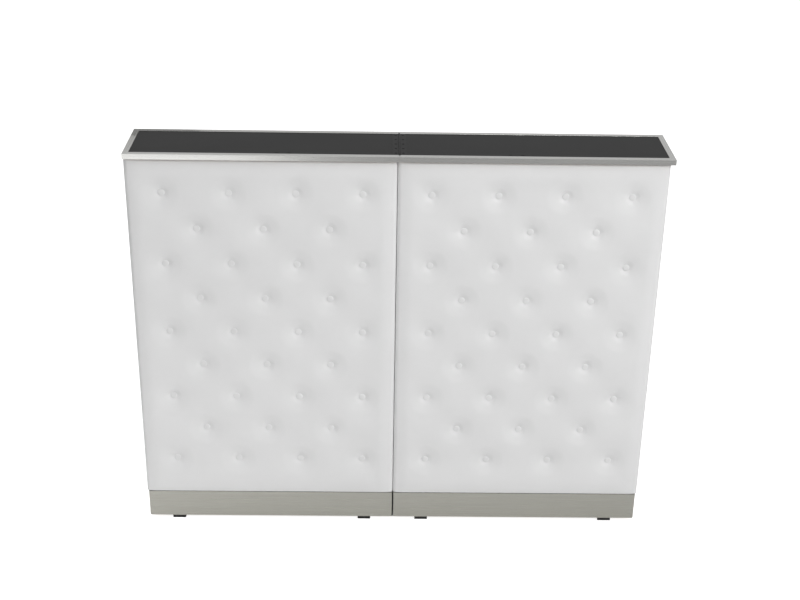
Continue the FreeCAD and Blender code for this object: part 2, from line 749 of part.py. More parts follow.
def hinge_leaf(label, side, kind, length, base, lay):
    """A leaf of a continuous hinge: a plate and every second knuckle.

    It is drawn with its pin along Z and its plate along X, below the pin.
    """
    body = doc.addObject("PartDesign::Body", label)
    turn(body, lay)
    put(body, *base)
    under = f"-({kind}_barrel / 2 + barrel_gap)"
    over = f"{under} + {kind}_plate"
    edge = f"{kind}_barrel / 2 + barrel_gap"
    plate = [(at_side(side, edge), under), (at_side(side, f"{kind}_leaf"), under),
             (at_side(side, f"{kind}_leaf"), over), (at_side(side, edge), over)]
    neck = [(at_side(side, "0"), under), (at_side(side, f"{edge} + {kind}_plate"), under),
            (at_side(side, f"{edge} + {kind}_plate"), over), (at_side(side, "0"), over)]
    pitch = f"({length}) / {kind}_knuckles"
    start = "0" if side == "left" else pitch
    pad(body, label + "_plate", outline(body, label + "_plate_path", "XY_Plane", plate), length)
    necks = pad(body, label + "_neck", outline(body, label + "_neck_path", "XY_Plane", neck, start),
                f"{pitch} - knuckle_gap")
    doc.recompute()
    barrels = pad(body, label + "_barrel",
                  ring(body, label + "_barrel_path", "XY_Plane", "0", "0", f"{kind}_barrel", start),
                  f"{pitch} - knuckle_gap")
    doc.recompute()
    planes = {part.Role: part for part in body.Origin.OriginFeatures}
    row = body.newObject("PartDesign::LinearPattern", label + "_knuckles")
    row.Originals = [necks, barrels]
    row.Direction = (planes["Z_Axis"], [""])
    bind(row, "Length", f"2 * {pitch} * ({kind}_knuckles / 2 - 1)")
    bind(row, "Occurrences", f"{kind}_knuckles / 2")
    body.Tip = row
    doc.recompute()
    bore = body.newObject("PartDesign::Pocket", label + "_bore")
    bore.Profile = ring(body, label + "_bore_path", "XY_Plane", "0", "0", f"{kind}_pin + 2 * pin_fit")
    bore.Type = "ThroughAll"
    bore.Reversed = True
    body.Tip = bore
    doc.recompute()
    return body


def countersinks(label, axis, spots, depth):
    """Tapered holes for flush screw heads."""
    return [cone(f"{label}_{i}", axis, spot, "screw_head + 2 * sink_clear",
                 "screw_shank + 2 * sink_clear", depth) for i, spot in enumerate(spots)]


# The continuous hinge across the top, and the screws of each half of the top
def make_top_hinge():
    base = ("top_shift", "top_hinge_length / 2", "top_axis")
    count = round(value("top_screws"))
    for side in SIDES:
        name = f"top_hinge_leaf_{side}"
        blank = hinge_leaf(name + "_blank", side, "top", "top_hinge_length", base, "-y")
        spots = [(at_top(side, "top_screw_line"), f"({i} - (top_screws - 1) / 2) * top_screw_pitch",
                  "insert_top + top_plate") for i in range(count)]
        sinks = countersinks(name + "_sink", "-z", spots, "top_plate")
        nodes.append(cut(name, blank, group(name + "_sinks", sinks)))
        screws = [small_screw(f"top_hinge_screw_{i}_{side}", "-z", spot) for i, spot in enumerate(spots)]
        for i, step in enumerate("-+"):
            spot = (at_top(side, f"(keeper_offset {step} keeper_pitch / 2)"), "keeper_line", "insert_top")
            screws.append(screw(f"keeper_screw_{i}_{side}", "-z", spot, "screw_head", "screw_sink",
                                "screw_shank", "(insert_top - leaf_under)"))
        nodes.append(group(f"top_screws_{side}", screws))
    nodes.append(rod("top_hinge_pin", "-y", base, "top_pin", "top_hinge_length"))


# The continuous hinge at the back of the seam
def make_fold_hinge():
    base = ("0", "fold_axis", "fold_low")
    count = round(value("fold_screws"))
    for side in SIDES:
        name = f"fold_hinge_leaf_{side}"
        blank = hinge_leaf(name + "_blank", side, "fold", "fold_length", base, "+z")
        spots = [(at_side(side, "fold_screw_line"), "back_plane + fold_plate",
                  f"fold_low + ({i} + 0.5) * fold_length / fold_screws") for i in range(count)]
        sinks = countersinks(name + "_sink", "-y", spots, "fold_plate")
        nodes.append(cut(name, blank, group(name + "_sinks", sinks)))
        screws = [small_screw(f"fold_screw_{i}_{side}", "-y", spot) for i, spot in enumerate(spots)]
        nodes.append(group(f"fold_screws_{side}", screws))
    nodes.append(rod("fold_hinge_pin", "+z", base, "fold_pin", "fold_length"))


# Magnets on the seam, and the dowels under the loose top
def make_locators():
    for side in SIDES:
        magnets = []
        for level in ("seam_magnet_low", "seam_magnet_high"):
            spot = (at_side(side, "inner_near"), "panel_front + seam_magnet_inset", level)
            magnets.append(rod(f"{level}_{side}", INWARD[side], spot, "magnet_diameter",
                               "seam_magnet_thick"))
        nodes.append(group(f"seam_magnets_{side}", magnets))
    dowels = [rod(f"dowel_{i}", "+z", (line, "end_mid", "deck_top - dowel_depth"), "dowel_diameter",
                  "dowel_depth + dowel_rise") for i, line in enumerate(dowel_lines())]
    nodes.append(group("top_dowels", dowels))


# A chest handle on the outer end: a plate with two ears, and a bail that hangs in them
def make_handle(side):
    low, high = "handle_height - handle_width / 2", "handle_height + handle_width / 2"
    front, back = "handle_mid - handle_length / 2", "handle_mid + handle_length / 2"
    pieces = [box(f"handle_back_{side}", mirrored(side, "cover_far", "handle_face"), (front, back),
                  (low, high))]
    bores = []
    rods = []
    pivot = at_side(side, "pivot_line")
    grip = "handle_height - handle_drop"
    reach = "(handle_span / 2 + handle_rod / 2 + ear_gap)"
    down, inward, out = (FreeCAD.Vector(0, 0, -1), FreeCAD.Vector(0, -1, 0), FreeCAD.Vector(0, 1, 0))
    for row, sign, elbow_turn in (
        ("front", "-", FreeCAD.Rotation(down, inward, FreeCAD.Vector(-1, 0, 0))),
        ("back", "+", FreeCAD.Rotation(out, down, FreeCAD.Vector(-1, 0, 0))),
    ):
        tag = f"{row}_{side}"
        away = sign + "y"
        near = f"handle_mid {sign} {reach}"
        far = f"{near} {sign} ear_length"
        width = (near, far) if sign == "+" else (far, near)
        pieces.append(box("handle_ear_" + tag, mirrored(side, "handle_face", "pivot_line + ear_width / 2"),
                          width, ("handle_height - ear_width / 2", "handle_height + ear_width / 2")))
        bores.append(rod("handle_bore_" + tag, away, (pivot, near, "handle_height"),
                         "pivot_rod + 2 * pin_fit", "ear_length"))

        # the bail: a stub in the ear, a rounded shoulder, a leg and a bend into the grip
        leg = f"handle_mid {sign} handle_span / 2"
        rods.append(rod("bail_stub_" + tag, away, (pivot, leg, "handle_height"), "pivot_rod",
                        f"{reach} - handle_span / 2 + ear_length"))
        shoulder = doc.addObject("Part::Sphere", "bail_shoulder_" + tag)
        bind(shoulder, "Radius", "handle_rod / 2")
        put(shoulder, pivot, leg, "handle_height")
        rods.append(shoulder)
        rods.append(rod("bail_leg_" + tag, "-z", (pivot, leg, "handle_height"), "handle_rod",
                        "handle_drop - handle_bend"))
        elbow = doc.addObject("Part::Torus", "bail_elbow_" + tag)
        bind(elbow, "Radius1", "handle_bend")
        bind(elbow, "Radius2", "handle_rod / 2")
        elbow.Angle3 = 90
        elbow.Placement = FreeCAD.Placement(FreeCAD.Vector(), elbow_turn)
        put(elbow, pivot, f"{leg} {'+' if sign == '-' else '-'} handle_bend", f"{grip} + handle_bend")
        rods.append(elbow)
    rods.append(rod(f"bail_grip_{side}", "+y", (pivot, "handle_mid - handle_span / 2 + handle_bend", grip),
                    "handle_rod", "handle_span - 2 * handle_bend"))
    spots = []
    for y in (f"{front} + handle_edge", f"{back} - handle_edge"):
        for z in (f"{low} + handle_edge", f"{high} - handle_edge"):
            spots.append((at_side(side, "handle_face"), y, z))
    sinks = countersinks(f"handle_sink_{side}", INWARD[side], spots, "handle_plate")
    body = fuse(f"handle_body_{side}", pieces)
    nodes.append(cut(f"handle_plate_{side}", body, group(f"handle_holes_{side}", bores + sinks)))
    nodes.append(fuse(f"handle_bail_{side}", rods))
    return [small_screw(f"handle_screw_{i}_{side}", INWARD[side], spot) for i, spot in enumerate(spots)]


for side in SIDES:
    make_box(side)
    make_shelves(side)
    make_kick_plate(side)
    make_padding(side)
    make_top(side)
    wood_screws = make_plinth(side) + make_box_screws(side) + make_handle(side)
    nodes.append(group(f"wood_screws_{side}", wood_screws))
make_top_hinge()
make_fold_hinge()
make_locators()
doc.recompute()

# Nothing is written unless every piece is sound
for thing in doc.Objects:
    if "Invalid" in thing.State or "Error" in thing.State:
        raise RuntimeError(f"{thing.Label} did not recompute: {thing.State}")
for node in nodes:
    if node.Shape.isNull() or not node.Shape.isValid() or not node.Shape.Solids:
        raise RuntimeError(f"{node.Label} has no sound solid")
os.makedirs("parts", exist_ok=True)
for node in nodes:
    node.Shape.exportStep(f"parts/{node.Label}.step")
print(len(nodes), "nodes,", sum(len(node.Shape.Solids) for node in nodes), "solids")
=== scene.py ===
# %% [markdown]
# A portable bar: two boxes side by side, white tufted vinyl in front, a stainless kick plate
# below and a black top in a stainless frame. The solids of the bar are loaded as a fixed frame.
# This lesson dresses them: each soft piece is modelled anew, hard pieces get eased edges, and
# every surface gets a finish made of shader nodes.

import json
import math
import random

import bmesh
import bpy
import numpy as np
from mathutils import Matrix, Vector

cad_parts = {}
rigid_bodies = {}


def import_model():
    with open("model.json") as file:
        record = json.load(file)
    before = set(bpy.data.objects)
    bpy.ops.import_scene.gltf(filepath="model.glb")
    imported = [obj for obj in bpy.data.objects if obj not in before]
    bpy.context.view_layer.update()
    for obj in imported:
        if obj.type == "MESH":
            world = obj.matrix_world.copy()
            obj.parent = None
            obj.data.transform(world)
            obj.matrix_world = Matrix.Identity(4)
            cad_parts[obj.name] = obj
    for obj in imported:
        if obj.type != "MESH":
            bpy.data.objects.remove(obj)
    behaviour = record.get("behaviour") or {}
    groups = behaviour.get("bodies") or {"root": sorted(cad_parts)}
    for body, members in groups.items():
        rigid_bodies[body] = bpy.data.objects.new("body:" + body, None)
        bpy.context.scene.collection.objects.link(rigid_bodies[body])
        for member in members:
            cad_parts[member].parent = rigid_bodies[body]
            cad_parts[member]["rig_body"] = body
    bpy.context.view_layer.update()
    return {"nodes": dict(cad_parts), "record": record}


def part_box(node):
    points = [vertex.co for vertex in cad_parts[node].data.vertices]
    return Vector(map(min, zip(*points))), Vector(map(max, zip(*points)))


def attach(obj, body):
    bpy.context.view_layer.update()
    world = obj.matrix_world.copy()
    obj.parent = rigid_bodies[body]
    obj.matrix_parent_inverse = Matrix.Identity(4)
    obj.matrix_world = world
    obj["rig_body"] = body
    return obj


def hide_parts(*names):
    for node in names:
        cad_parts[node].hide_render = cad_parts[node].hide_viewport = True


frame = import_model()
nodes = frame["nodes"]
scene = bpy.context.scene
MM = 0.001
SIDES = ("left", "right")

# %% [markdown]
# The camera comes first, because everything after it is judged through it. It looks down at the
# bar from a little left of its middle and from 2.5 m up, through a long lens, so the upright edges
# run together a little towards the floor. The turn, the tilt and a slight roll are written as
# angles, so that each can be changed by itself.

# %% Camera
CAMERA_PLACE = Vector((-0.052, -3.718, 2.509))
CAMERA_TURN = -0.0178  # radians, to the right of straight ahead
CAMERA_TILT = 0.4469  # radians below level
CAMERA_ROLL = 0.01744
LENS_PIXELS = 1374.04  # focal length in pixels of an image 800 wide
IMAGE_WIDTH = 800
SENSOR_WIDTH = 36  # mm

camera = bpy.data.objects.new("camera", bpy.data.cameras.new("camera"))
scene.collection.objects.link(camera)
camera.data.sensor_width = SENSOR_WIDTH
camera.data.lens = LENS_PIXELS / IMAGE_WIDTH * SENSOR_WIDTH
camera.matrix_world = (
    Matrix.Translation(CAMERA_PLACE)
    @ Matrix.Rotation(CAMERA_TURN, 4, "Z")
    @ Matrix.Rotation(math.pi / 2 - CAMERA_TILT, 4, "X")
    @ Matrix.Rotation(CAMERA_ROLL, 4, "Z")
)
scene.camera = camera
print("lens", round(camera.data.lens, 2), "mm")

# %% [markdown]
# Shader trees are long when each node takes five lines. The first helper adds one node, sets its
# plain properties and fills its sockets: a socket is linked, and anything else is a value. The
# second starts a group, a tree that several finishes share.

# %% Helper for shader nodes
def add(tree, kind, settings=None, inputs=None):
    """One node with its properties set and its sockets filled."""
    node = tree.nodes.new(kind)
    for name, value in (settings or {}).items():
        setattr(node, name, value)
    for name, value in (inputs or {}).items():
        if isinstance(value, bpy.types.NodeSocket):
            tree.links.new(value, node.inputs[name])
        else:
            node.inputs[name].default_value = value
    return node


def new_group(name, inputs, outputs):
    """An empty shader group: its tree, its input node and its output node."""
    tree = bpy.data.node_groups.new(name, "ShaderNodeTree")
    for title, kind, value in inputs:
        socket = tree.interface.new_socket(title, in_out="INPUT", socket_type=kind)
        if value is not None:
            socket.default_value = value
    for title, kind in outputs:
        tree.interface.new_socket(title, in_out="OUTPUT", socket_type=kind)
    return tree, tree.nodes.new("NodeGroupInput"), tree.nodes.new("NodeGroupOutput")


FLOAT, VECTOR = "NodeSocketFloat", "NodeSocketVector"
print("helpers ready")

# %% [markdown]
# A studio with a white floor and soft light. One large light stands up and to the right of the
# camera, so each tuft is shaded on its upper right and bright on its lower left. A wide light
# above and an even white world fill in the rest. The steel front of the top mirrors the floor in
# front of the bar, and a white card that lies there on the left brightens that end of it. The
# card shows in reflections only. The kick plates mirror the floor at their feet, which is lit
# more on the left, by a lamp that is linked to the floor and misses the bar.

# %% Studio
FLOOR_SIZE = 60
FILL, WHITE, MIRRORED = 0.415, 1.0, 0.86  # the world, as light, for the camera and in reflections
KEY_PLACE, KEY_SIZE, KEY_POWER = (3.8, -3.9, 3.9), 1.9, 150
TOP_PLACE, TOP_SIZE, TOP_POWER = (-0.3, -0.2, 5.5), 5.0, 110
CARD_PLACE, CARD_SIZE, CARD_POWER = (-1.70, -3.4, 0.05), 2.3, 34
PAPER_PLACE, PAPER_AIM, PAPER_SIZE, PAPER_POWER = (-1.5, -0.9, 1.1), (-0.9, -0.3, 0), 0.6, 10
LIGHT_AIM = Vector((0, 0, 0.6))


def soft_light(name, place, size, power, aim=LIGHT_AIM):
    """A square light that looks at a point, by itself the middle of the bar."""
    lamp = bpy.data.objects.new(name, bpy.data.lights.new(name, "AREA"))
    lamp.data.size = size
    lamp.data.energy = power
    lamp.location = place
    lamp.rotation_euler = (aim - Vector(place)).to_track_quat("-Z", "Y").to_euler()
    lamp.visible_camera = False
    scene.collection.objects.link(lamp)
    return lamp


soft_light("key_light", KEY_PLACE, KEY_SIZE, KEY_POWER)
soft_light("top_light", TOP_PLACE, TOP_SIZE, TOP_POWER)
above_card = Vector(CARD_PLACE) + Vector((0, 0, 1))
card = soft_light("white_card", CARD_PLACE, CARD_SIZE, CARD_POWER, above_card)
card.visible_diffuse = False
paper_lamp = soft_light("paper_lamp", PAPER_PLACE, PAPER_SIZE, PAPER_POWER, Vector(PAPER_AIM))

world = bpy.data.worlds.new("studio")
world.use_nodes = True
tree = world.node_tree
rays = add(tree, "ShaderNodeLightPath").outputs
mirrored = add(tree, "ShaderNodeMath", {"operation": "MULTIPLY_ADD"},
               {0: rays["Is Glossy Ray"], 1: MIRRORED - FILL, 2: FILL})
strength = add(tree, "ShaderNodeMath", {"operation": "MULTIPLY_ADD"},
               {0: rays["Is Camera Ray"], 1: WHITE - FILL, 2: mirrored.outputs[0]})
tree.nodes["Background"].inputs["Color"].default_value = (1, 1, 1, 1)
tree.links.new(strength.outputs[0], tree.nodes["Background"].inputs["Strength"])
scene.world = world
scene.view_settings.view_transform = "Standard"

bpy.ops.mesh.primitive_plane_add(size=FLOOR_SIZE)
floor = bpy.context.object
floor.name = "studio_floor"
paper = bpy.data.collections.new("paper")
paper.objects.link(floor)
paper_lamp.light_linking.receiver_collection = paper
print("floor", FLOOR_SIZE, "m wide")

# %% [markdown]
# Vinyl is embossed to look like leather: small rounded pebbles with fine valleys between them.
# Voronoi cells give the pebbles, and a noise bends them so that they don't look printed. The
# group puts out a height for a Bump node, so the vinyls and the black pieces share it, each at its
# own scale.

# %% Group: leather grain
tree, given, out = new_group(
    "leather_grain",
    [("Vector", VECTOR, None), ("Scale", FLOAT, 700.0)],
    [("Height", FLOAT)],
)
BEND_SCALE, BEND = 160.0, 0.002  # how fine and how strong the bending is
PEBBLE_BLUR = 0.6
bend = add(tree, "ShaderNodeTexNoise",
           inputs={"Vector": given.outputs["Vector"], "Scale": BEND_SCALE})
moved = add(tree, "ShaderNodeVectorMath", {"operation": "MULTIPLY_ADD"},
            {0: bend.outputs["Color"], 1: (BEND,) * 3, 2: given.outputs["Vector"]})
cells = add(tree, "ShaderNodeTexVoronoi", {"feature": "SMOOTH_F1"},
            {"Vector": moved.outputs[0], "Scale": given.outputs["Scale"],
             "Smoothness": PEBBLE_BLUR})
pebble = add(tree, "ShaderNodeMath", {"operation": "SUBTRACT"}, {0: 1.0, 1: cells.outputs["Distance"]})
tree.links.new(pebble.outputs[0], out.inputs["Height"])
leather_grain = tree
print("group", tree.name)

# %% [markdown]
# No real surface is equally clean and equally shiny all over. This group is a slow, cloudy mask.
# The finishes without lines or fibres use it for their tone and their gloss, each at its own scale.

# %% Group: uneven patches
tree, given, out = new_group(
    "uneven_patches",
    [("Vector", VECTOR, None), ("Scale", FLOAT, 6.0), ("Detail", FLOAT, 5.0)],
    [("Mask", FLOAT)],
)
CLOUD_ROUGHNESS = 0.6
CLOUD_LOW, CLOUD_HIGH = 0.3, 0.7  # the noise between these is spread from 0 to 1
cloud = add(tree, "ShaderNodeTexNoise",
            inputs={"Vector": given.outputs["Vector"], "Scale": given.outputs["Scale"],
                    "Detail": given.outputs["Detail"], "Roughness": CLOUD_ROUGHNESS})
spread = add(tree, "ShaderNodeMapRange",
             inputs={0: cloud.outputs[0], 1: CLOUD_LOW, 2: CLOUD_HIGH, 3: 0.0, 4: 1.0})
tree.links.new(spread.outputs[0], out.inputs["Mask"])
uneven_patches = tree
print("group", tree.name)

# %% [markdown]
# Stainless sheet is brushed along its length. The lines are a noise squeezed across the sheet
# and stretched along it. On the ends of the bar the sheet turns a corner, and there the lines
# turn with it: an attribute on the mesh says which faces are turned.

# %% Group: brushed lines
tree, given, out = new_group(
    "brushed_lines",
    [("Vector", VECTOR, None), ("Turned", FLOAT, 0.0)],
    [("Line", FLOAT)],
)
ALONG, ACROSS = 3.0, 1400.0  # scale of the noise along the brushing and across it
LINE_DETAIL = 3.0
straight = add(tree, "ShaderNodeVectorMath", {"operation": "MULTIPLY"},
               {0: given.outputs["Vector"], 1: (ALONG, ACROSS, ACROSS)})
turned = add(tree, "ShaderNodeVectorMath", {"operation": "MULTIPLY"},
             {0: given.outputs["Vector"], 1: (ACROSS, ALONG, ACROSS)})
pick = add(tree, "ShaderNodeMix", {"data_type": "VECTOR"},
           {0: given.outputs["Turned"], 4: straight.outputs[0], 5: turned.outputs[0]})
lines = add(tree, "ShaderNodeTexNoise",
            inputs={"Vector": pick.outputs[1], "Scale": 1.0, "Detail": LINE_DETAIL})
tree.links.new(lines.outputs[0], out.inputs["Line"])
brushed_lines = tree
print("group", tree.name)

# %% [markdown]
# Plywood and beech show long fibres. A noise stretched along the board gives them, and a second,
# slower one gives the broad bands of the growth rings.

# %% Group: wood fibres
tree, given, out = new_group(
    "wood_fibres",
    [("Vector", VECTOR, None), ("Stretch", VECTOR, (4.0, 90.0, 90.0))],
    [("Fibre", FLOAT)],
)
drawn = add(tree, "ShaderNodeVectorMath", {"operation": "MULTIPLY"},
            {0: given.outputs["Vector"], 1: given.outputs["Stretch"]})
FIBRE_SCALE, FIBRE_DETAIL, FIBRE_SHARE = 6.0, 6.0, 0.5
RING_SCALE, RING_DETAIL = 0.6, 2.0
BOTH_LOW, BOTH_HIGH = 0.5, 1.0  # the sum between these is spread from 0 to 1
fine = add(tree, "ShaderNodeTexNoise",
           inputs={"Vector": drawn.outputs[0], "Scale": FIBRE_SCALE, "Detail": FIBRE_DETAIL})
broad = add(tree, "ShaderNodeTexNoise",
            inputs={"Vector": drawn.outputs[0], "Scale": RING_SCALE, "Detail": RING_DETAIL})
both = add(tree, "ShaderNodeMath", {"operation": "MULTIPLY_ADD"},
           {0: fine.outputs[0], 1: FIBRE_SHARE, 2: broad.outputs[0]})
level = add(tree, "ShaderNodeMapRange",
            inputs={0: both.outputs[0], 1: BOTH_LOW, 2: BOTH_HIGH, 3: 0.0, 4: 1.0})
tree.links.new(level.outputs[0], out.inputs["Fibre"])
wood_fibres = tree
print("group", tree.name)

# %% [markdown]
# Every finish is a Principled BSDF whose colour and roughness run between two values, steered by
# a mask, with a bump for the fine relief. Numbers that are the same all over, such as metallic
# or coat, are set on the shader's own sockets.

# %% Helper for finishes
def finish(name, **shader):
    """A new material with the shader's plain numbers set: tree, shader and object coordinates."""
    material = bpy.data.materials.new(name)
    material.use_nodes = True
    tree = material.node_tree
    bsdf = tree.nodes["Principled BSDF"]
    for title, value in shader.items():
        bsdf.inputs[title.replace("_", " ")].default_value = value
    place = add(tree, "ShaderNodeTexCoord").outputs["Object"]
    return material, tree, bsdf, place


def place_group(tree, group, inputs):
    """A group set into the tree of a finish: its one output."""
    return add(tree, "ShaderNodeGroup", {"node_tree": group}, inputs).outputs[0]


def tone(tree, bsdf, mask, low, high):
    """Base colour between two colours."""
    mix = add(tree, "ShaderNodeMix", {"data_type": "RGBA"}, {0: mask, 6: (*low, 1), 7: (*high, 1)})
    tree.links.new(mix.outputs[2], bsdf.inputs["Base Color"])


def gloss(tree, bsdf, mask, low, high):
    """Roughness between two values."""
    span = add(tree, "ShaderNodeMapRange", inputs={0: mask, 1: 0.0, 2: 1.0, 3: low, 4: high})
    tree.links.new(span.outputs[0], bsdf.inputs["Roughness"])


def relief(tree, bsdf, height, distance, strength):
    """Fine relief as a bump, with its depth in metres."""
    bump = add(tree, "ShaderNodeBump",
               inputs={"Height": height, "Distance": distance, "Strength": strength})
    tree.links.new(bump.outputs[0], bsdf.inputs["Normal"])


finishes = {}
print("finish helper ready")

# %% [markdown]
# White vinyl. It is a soft satin white, with a fine grain and a faint change of gloss where hands
# and cloths have passed.

# %% Finish: white vinyl
VINYL_PATCHES = 5.0
VINYL_ROUGH = (0.40, 0.52)
VINYL_DEPTH, VINYL_BUMP = 0.00018, 0.5


def vinyl(name, low, high, grain):
    material, tree, bsdf, place = finish(name)
    patches = place_group(tree, uneven_patches, {"Vector": place, "Scale": VINYL_PATCHES})
    height = place_group(tree, leather_grain, {"Vector": place, "Scale": grain})
    tone(tree, bsdf, patches, low, high)
    gloss(tree, bsdf, patches, *VINYL_ROUGH)
    relief(tree, bsdf, height, VINYL_DEPTH, VINYL_BUMP)
    finishes[name] = material


vinyl("vinyl_padding", (0.80, 0.80, 0.80), (0.83, 0.83, 0.83), 620.0)
vinyl("white_vinyl", (0.79, 0.79, 0.79), (0.82, 0.82, 0.82), 760.0)
print("vinyl finishes made")

# %% [markdown]
# Stainless steel. The brushing shows as thin light and dark lines and as a roughness that differs
# from line to line. The kick plates are of a lighter and warmer sheet than the frame of the top,
# so one function makes both.

# %% Finish: brushed steel
STEEL_ROUGH = (0.20, 0.32)
STEEL_DEPTH, STEEL_BUMP = 0.00004, 0.3


def brushed(name, low, high):
    material, tree, bsdf, place = finish(name, Metallic=1.0)
    turned = add(tree, "ShaderNodeAttribute", {"attribute_name": "turned"}).outputs["Fac"]
    line = place_group(tree, brushed_lines, {"Vector": place, "Turned": turned})
    tone(tree, bsdf, line, low, high)
    gloss(tree, bsdf, line, *STEEL_ROUGH)
    relief(tree, bsdf, line, STEEL_DEPTH, STEEL_BUMP)
    finishes[name] = material


brushed("brushed_steel", (0.39, 0.389, 0.378), (0.455, 0.454, 0.442))
brushed("warm_steel", (0.451, 0.444, 0.402), (0.519, 0.512, 0.464))
print("steel finishes made")

# %% [markdown]
# The black pieces: a satin laminate for the top, a pebbled board for the inside of the boxes, a
# painted steel for the hinges, and rubber for the feet and for the dark strips that are painted
# shade in the seam. They differ in gloss and in relief more than in colour. Only the blackened
# screws of the top are darker still.

# %% Finish: black pieces
BLACK_PATCHES = 4.0
BLACK_BUMP = 0.4


def black(name, low, high, rough, scale, depth, **shader):
    material, tree, bsdf, place = finish(name, **shader)
    patches = place_group(tree, uneven_patches, {"Vector": place, "Scale": BLACK_PATCHES})
    grain = place_group(tree, leather_grain, {"Vector": place, "Scale": scale})
    tone(tree, bsdf, patches, (low,) * 3, (high,) * 3)
    gloss(tree, bsdf, patches, *rough)
    relief(tree, bsdf, grain, depth, BLACK_BUMP)
    finishes[name] = material


black("black_laminate", 0.024, 0.032, (0.45, 0.58), 1500.0, 0.00003, Specular_IOR_Level=0.04)
black("black_board", 0.020, 0.032, (0.42, 0.55), 900.0, 0.00008)
black("black_metal", 0.019, 0.028, (0.40, 0.54), 1100.0, 0.00005, Specular_IOR_Level=0.05)
black("dark_screw", 0.004, 0.008, (0.45, 0.60), 1100.0, 0.00005, Specular_IOR_Level=0.03)
black("rubber", 0.012, 0.022, (0.62, 0.78), 500.0, 0.00015)
print("black finishes made")

# %% [markdown]
# The bright fittings: chrome on the handles, zinc on the screws and nickel on the magnets. All
# are metals with a light haze of fingerprints or plating.

# %% Finish: bright fittings
def plated(name, low, high, rough, scale):
    material, tree, bsdf, place = finish(name, Metallic=1.0)
    haze = place_group(tree, uneven_patches, {"Vector": place, "Scale": scale})
    tone(tree, bsdf, haze, low, high)
    gloss(tree, bsdf, haze, *rough)
    finishes[name] = material


plated("chrome", (0.68, 0.69, 0.70), (0.78, 0.79, 0.80), (0.08, 0.22), 60.0)
plated("zinc_steel", (0.48, 0.49, 0.47), (0.64, 0.64, 0.60), (0.28, 0.45), 180.0)
plated("nickel", (0.56, 0.54, 0.50), (0.66, 0.64, 0.60), (0.20, 0.32), 120.0)
print("plated finishes made")

# %% [markdown]
# The wood: pale plywood for the plinth, beech for the dowels and a brown chipboard for the core
# of the top, whose raw underside shows when the top is lifted.

# %% Finish: wood
WOOD_ROUGH = (0.55, 0.72)
WOOD_DEPTH, WOOD_BUMP = 0.0001, 0.4


def wood(name, low, high, stretch):
    material, tree, bsdf, place = finish(name)
    fibre = place_group(tree, wood_fibres, {"Vector": place, "Stretch": stretch})
    tone(tree, bsdf, fibre, low, high)
    gloss(tree, bsdf, fibre, *WOOD_ROUGH)
    relief(tree, bsdf, fibre, WOOD_DEPTH, WOOD_BUMP)
    finishes[name] = material


wood("plywood", (0.42, 0.27, 0.14), (0.60, 0.43, 0.26), (4.0, 60.0, 90.0))
wood("beech", (0.50, 0.31, 0.17), (0.62, 0.42, 0.26), (90.0, 90.0, 6.0))
wood("core_board", (0.20, 0.13, 0.075), (0.34, 0.23, 0.14), (120.0, 120.0, 120.0))
print("wood finishes made")

# %% [markdown]
# The floor is plain white paper. A studio lights its paper until it is blown out to white, with
# lamps that don't reach the bar. Here the paper glows a little, and only for the camera.

# %% Finish: floor
PAPER_GLOW = 0.85
PAPER_PATCHES = 3.0
PAPER_DARK, PAPER_LIGHT = (0.69, 0.69, 0.69), (0.71, 0.71, 0.71)
PAPER_ROUGH = (0.8, 0.9)

material, tree, bsdf, place = finish("studio_paper")
patches = place_group(tree, uneven_patches, {"Vector": place, "Scale": PAPER_PATCHES})
tone(tree, bsdf, patches, PAPER_DARK, PAPER_LIGHT)
gloss(tree, bsdf, patches, *PAPER_ROUGH)
seen = add(tree, "ShaderNodeLightPath").outputs["Is Camera Ray"]
glow = add(tree, "ShaderNodeMath", {"operation": "MULTIPLY"}, {0: seen, 1: PAPER_GLOW})
bsdf.inputs["Emission Color"].default_value = (1, 1, 1, 1)
tree.links.new(glow.outputs[0], bsdf.inputs["Emission Strength"])
floor.data.materials.append(material)
print("floor finish made")

# %% [markdown]
# The frame's record says which finish each node has. Every node gets that finish first, and the
# pieces that are made in its place below look it up in the same way.

# %% Finish on every node
slot_of = {part["node"]: part["material_slot"] for part in frame["record"]["subparts"]}
body_of = {name: thing["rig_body"] for name, thing in nodes.items()}
for name, thing in nodes.items():
    thing.data.materials.clear()
    thing.data.materials.append(finishes[slot_of[name]])
print(len(slot_of), "nodes have their finish")

# %% [markdown]
# A piece that this lesson makes is tied to the frame in one place: it moves with the body of the
# node that it stands for, hides that node and takes its finish.

# %% Helper for pieces
def settle(piece, node):
    """The piece takes the place of a node."""
    piece.data.materials.clear()
    piece.data.materials.append(finishes[slot_of[node]])
    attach(piece, body_of[node])
    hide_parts(node)


def new_piece(name, mesh):
    piece = bpy.data.objects.new(name, mesh)
    scene.collection.objects.link(piece)
    return piece


def evaluated_mesh(piece):
    """The mesh of a piece after its modifiers, as plain data."""
    graph = bpy.context.evaluated_depsgraph_get()
    return bpy.data.meshes.new_from_object(piece.evaluated_get(graph))


def apply_modifiers(piece):
    old = piece.data
    mesh = evaluated_mesh(piece)
    piece.modifiers.clear()
    piece.data = mesh
    bpy.data.meshes.remove(old)


print("piece helpers ready")

# %% [markdown]
# Sheet metal and boards never have razor edges: a folded sheet has a small radius and a board is
# eased with sandpaper. The solids are drawn with sharp edges, so these pieces are copies of them.
# The loose triangles of the copy are merged, flat faces are joined up, and a Bevel modifier
# rounds the edges. The narrow round edge then catches a line of light, as the real one does.
# Smooth shading would bend the light on the wide faces too, so a Weighted Normal modifier lets the
# widest face at each corner decide.

# %% Eased copies
FLAT = math.radians(0.5)
SHARP = math.radians(32)
WELD = 0.01 * MM


def merged_copy(node):
    """A node's mesh with its triangles joined."""
    build = bmesh.new()
    build.from_mesh(nodes[node].data)
    bmesh.ops.remove_doubles(build, verts=build.verts, dist=WELD)
    bmesh.ops.dissolve_limit(build, angle_limit=FLAT, verts=build.verts, edges=build.edges)
    return build


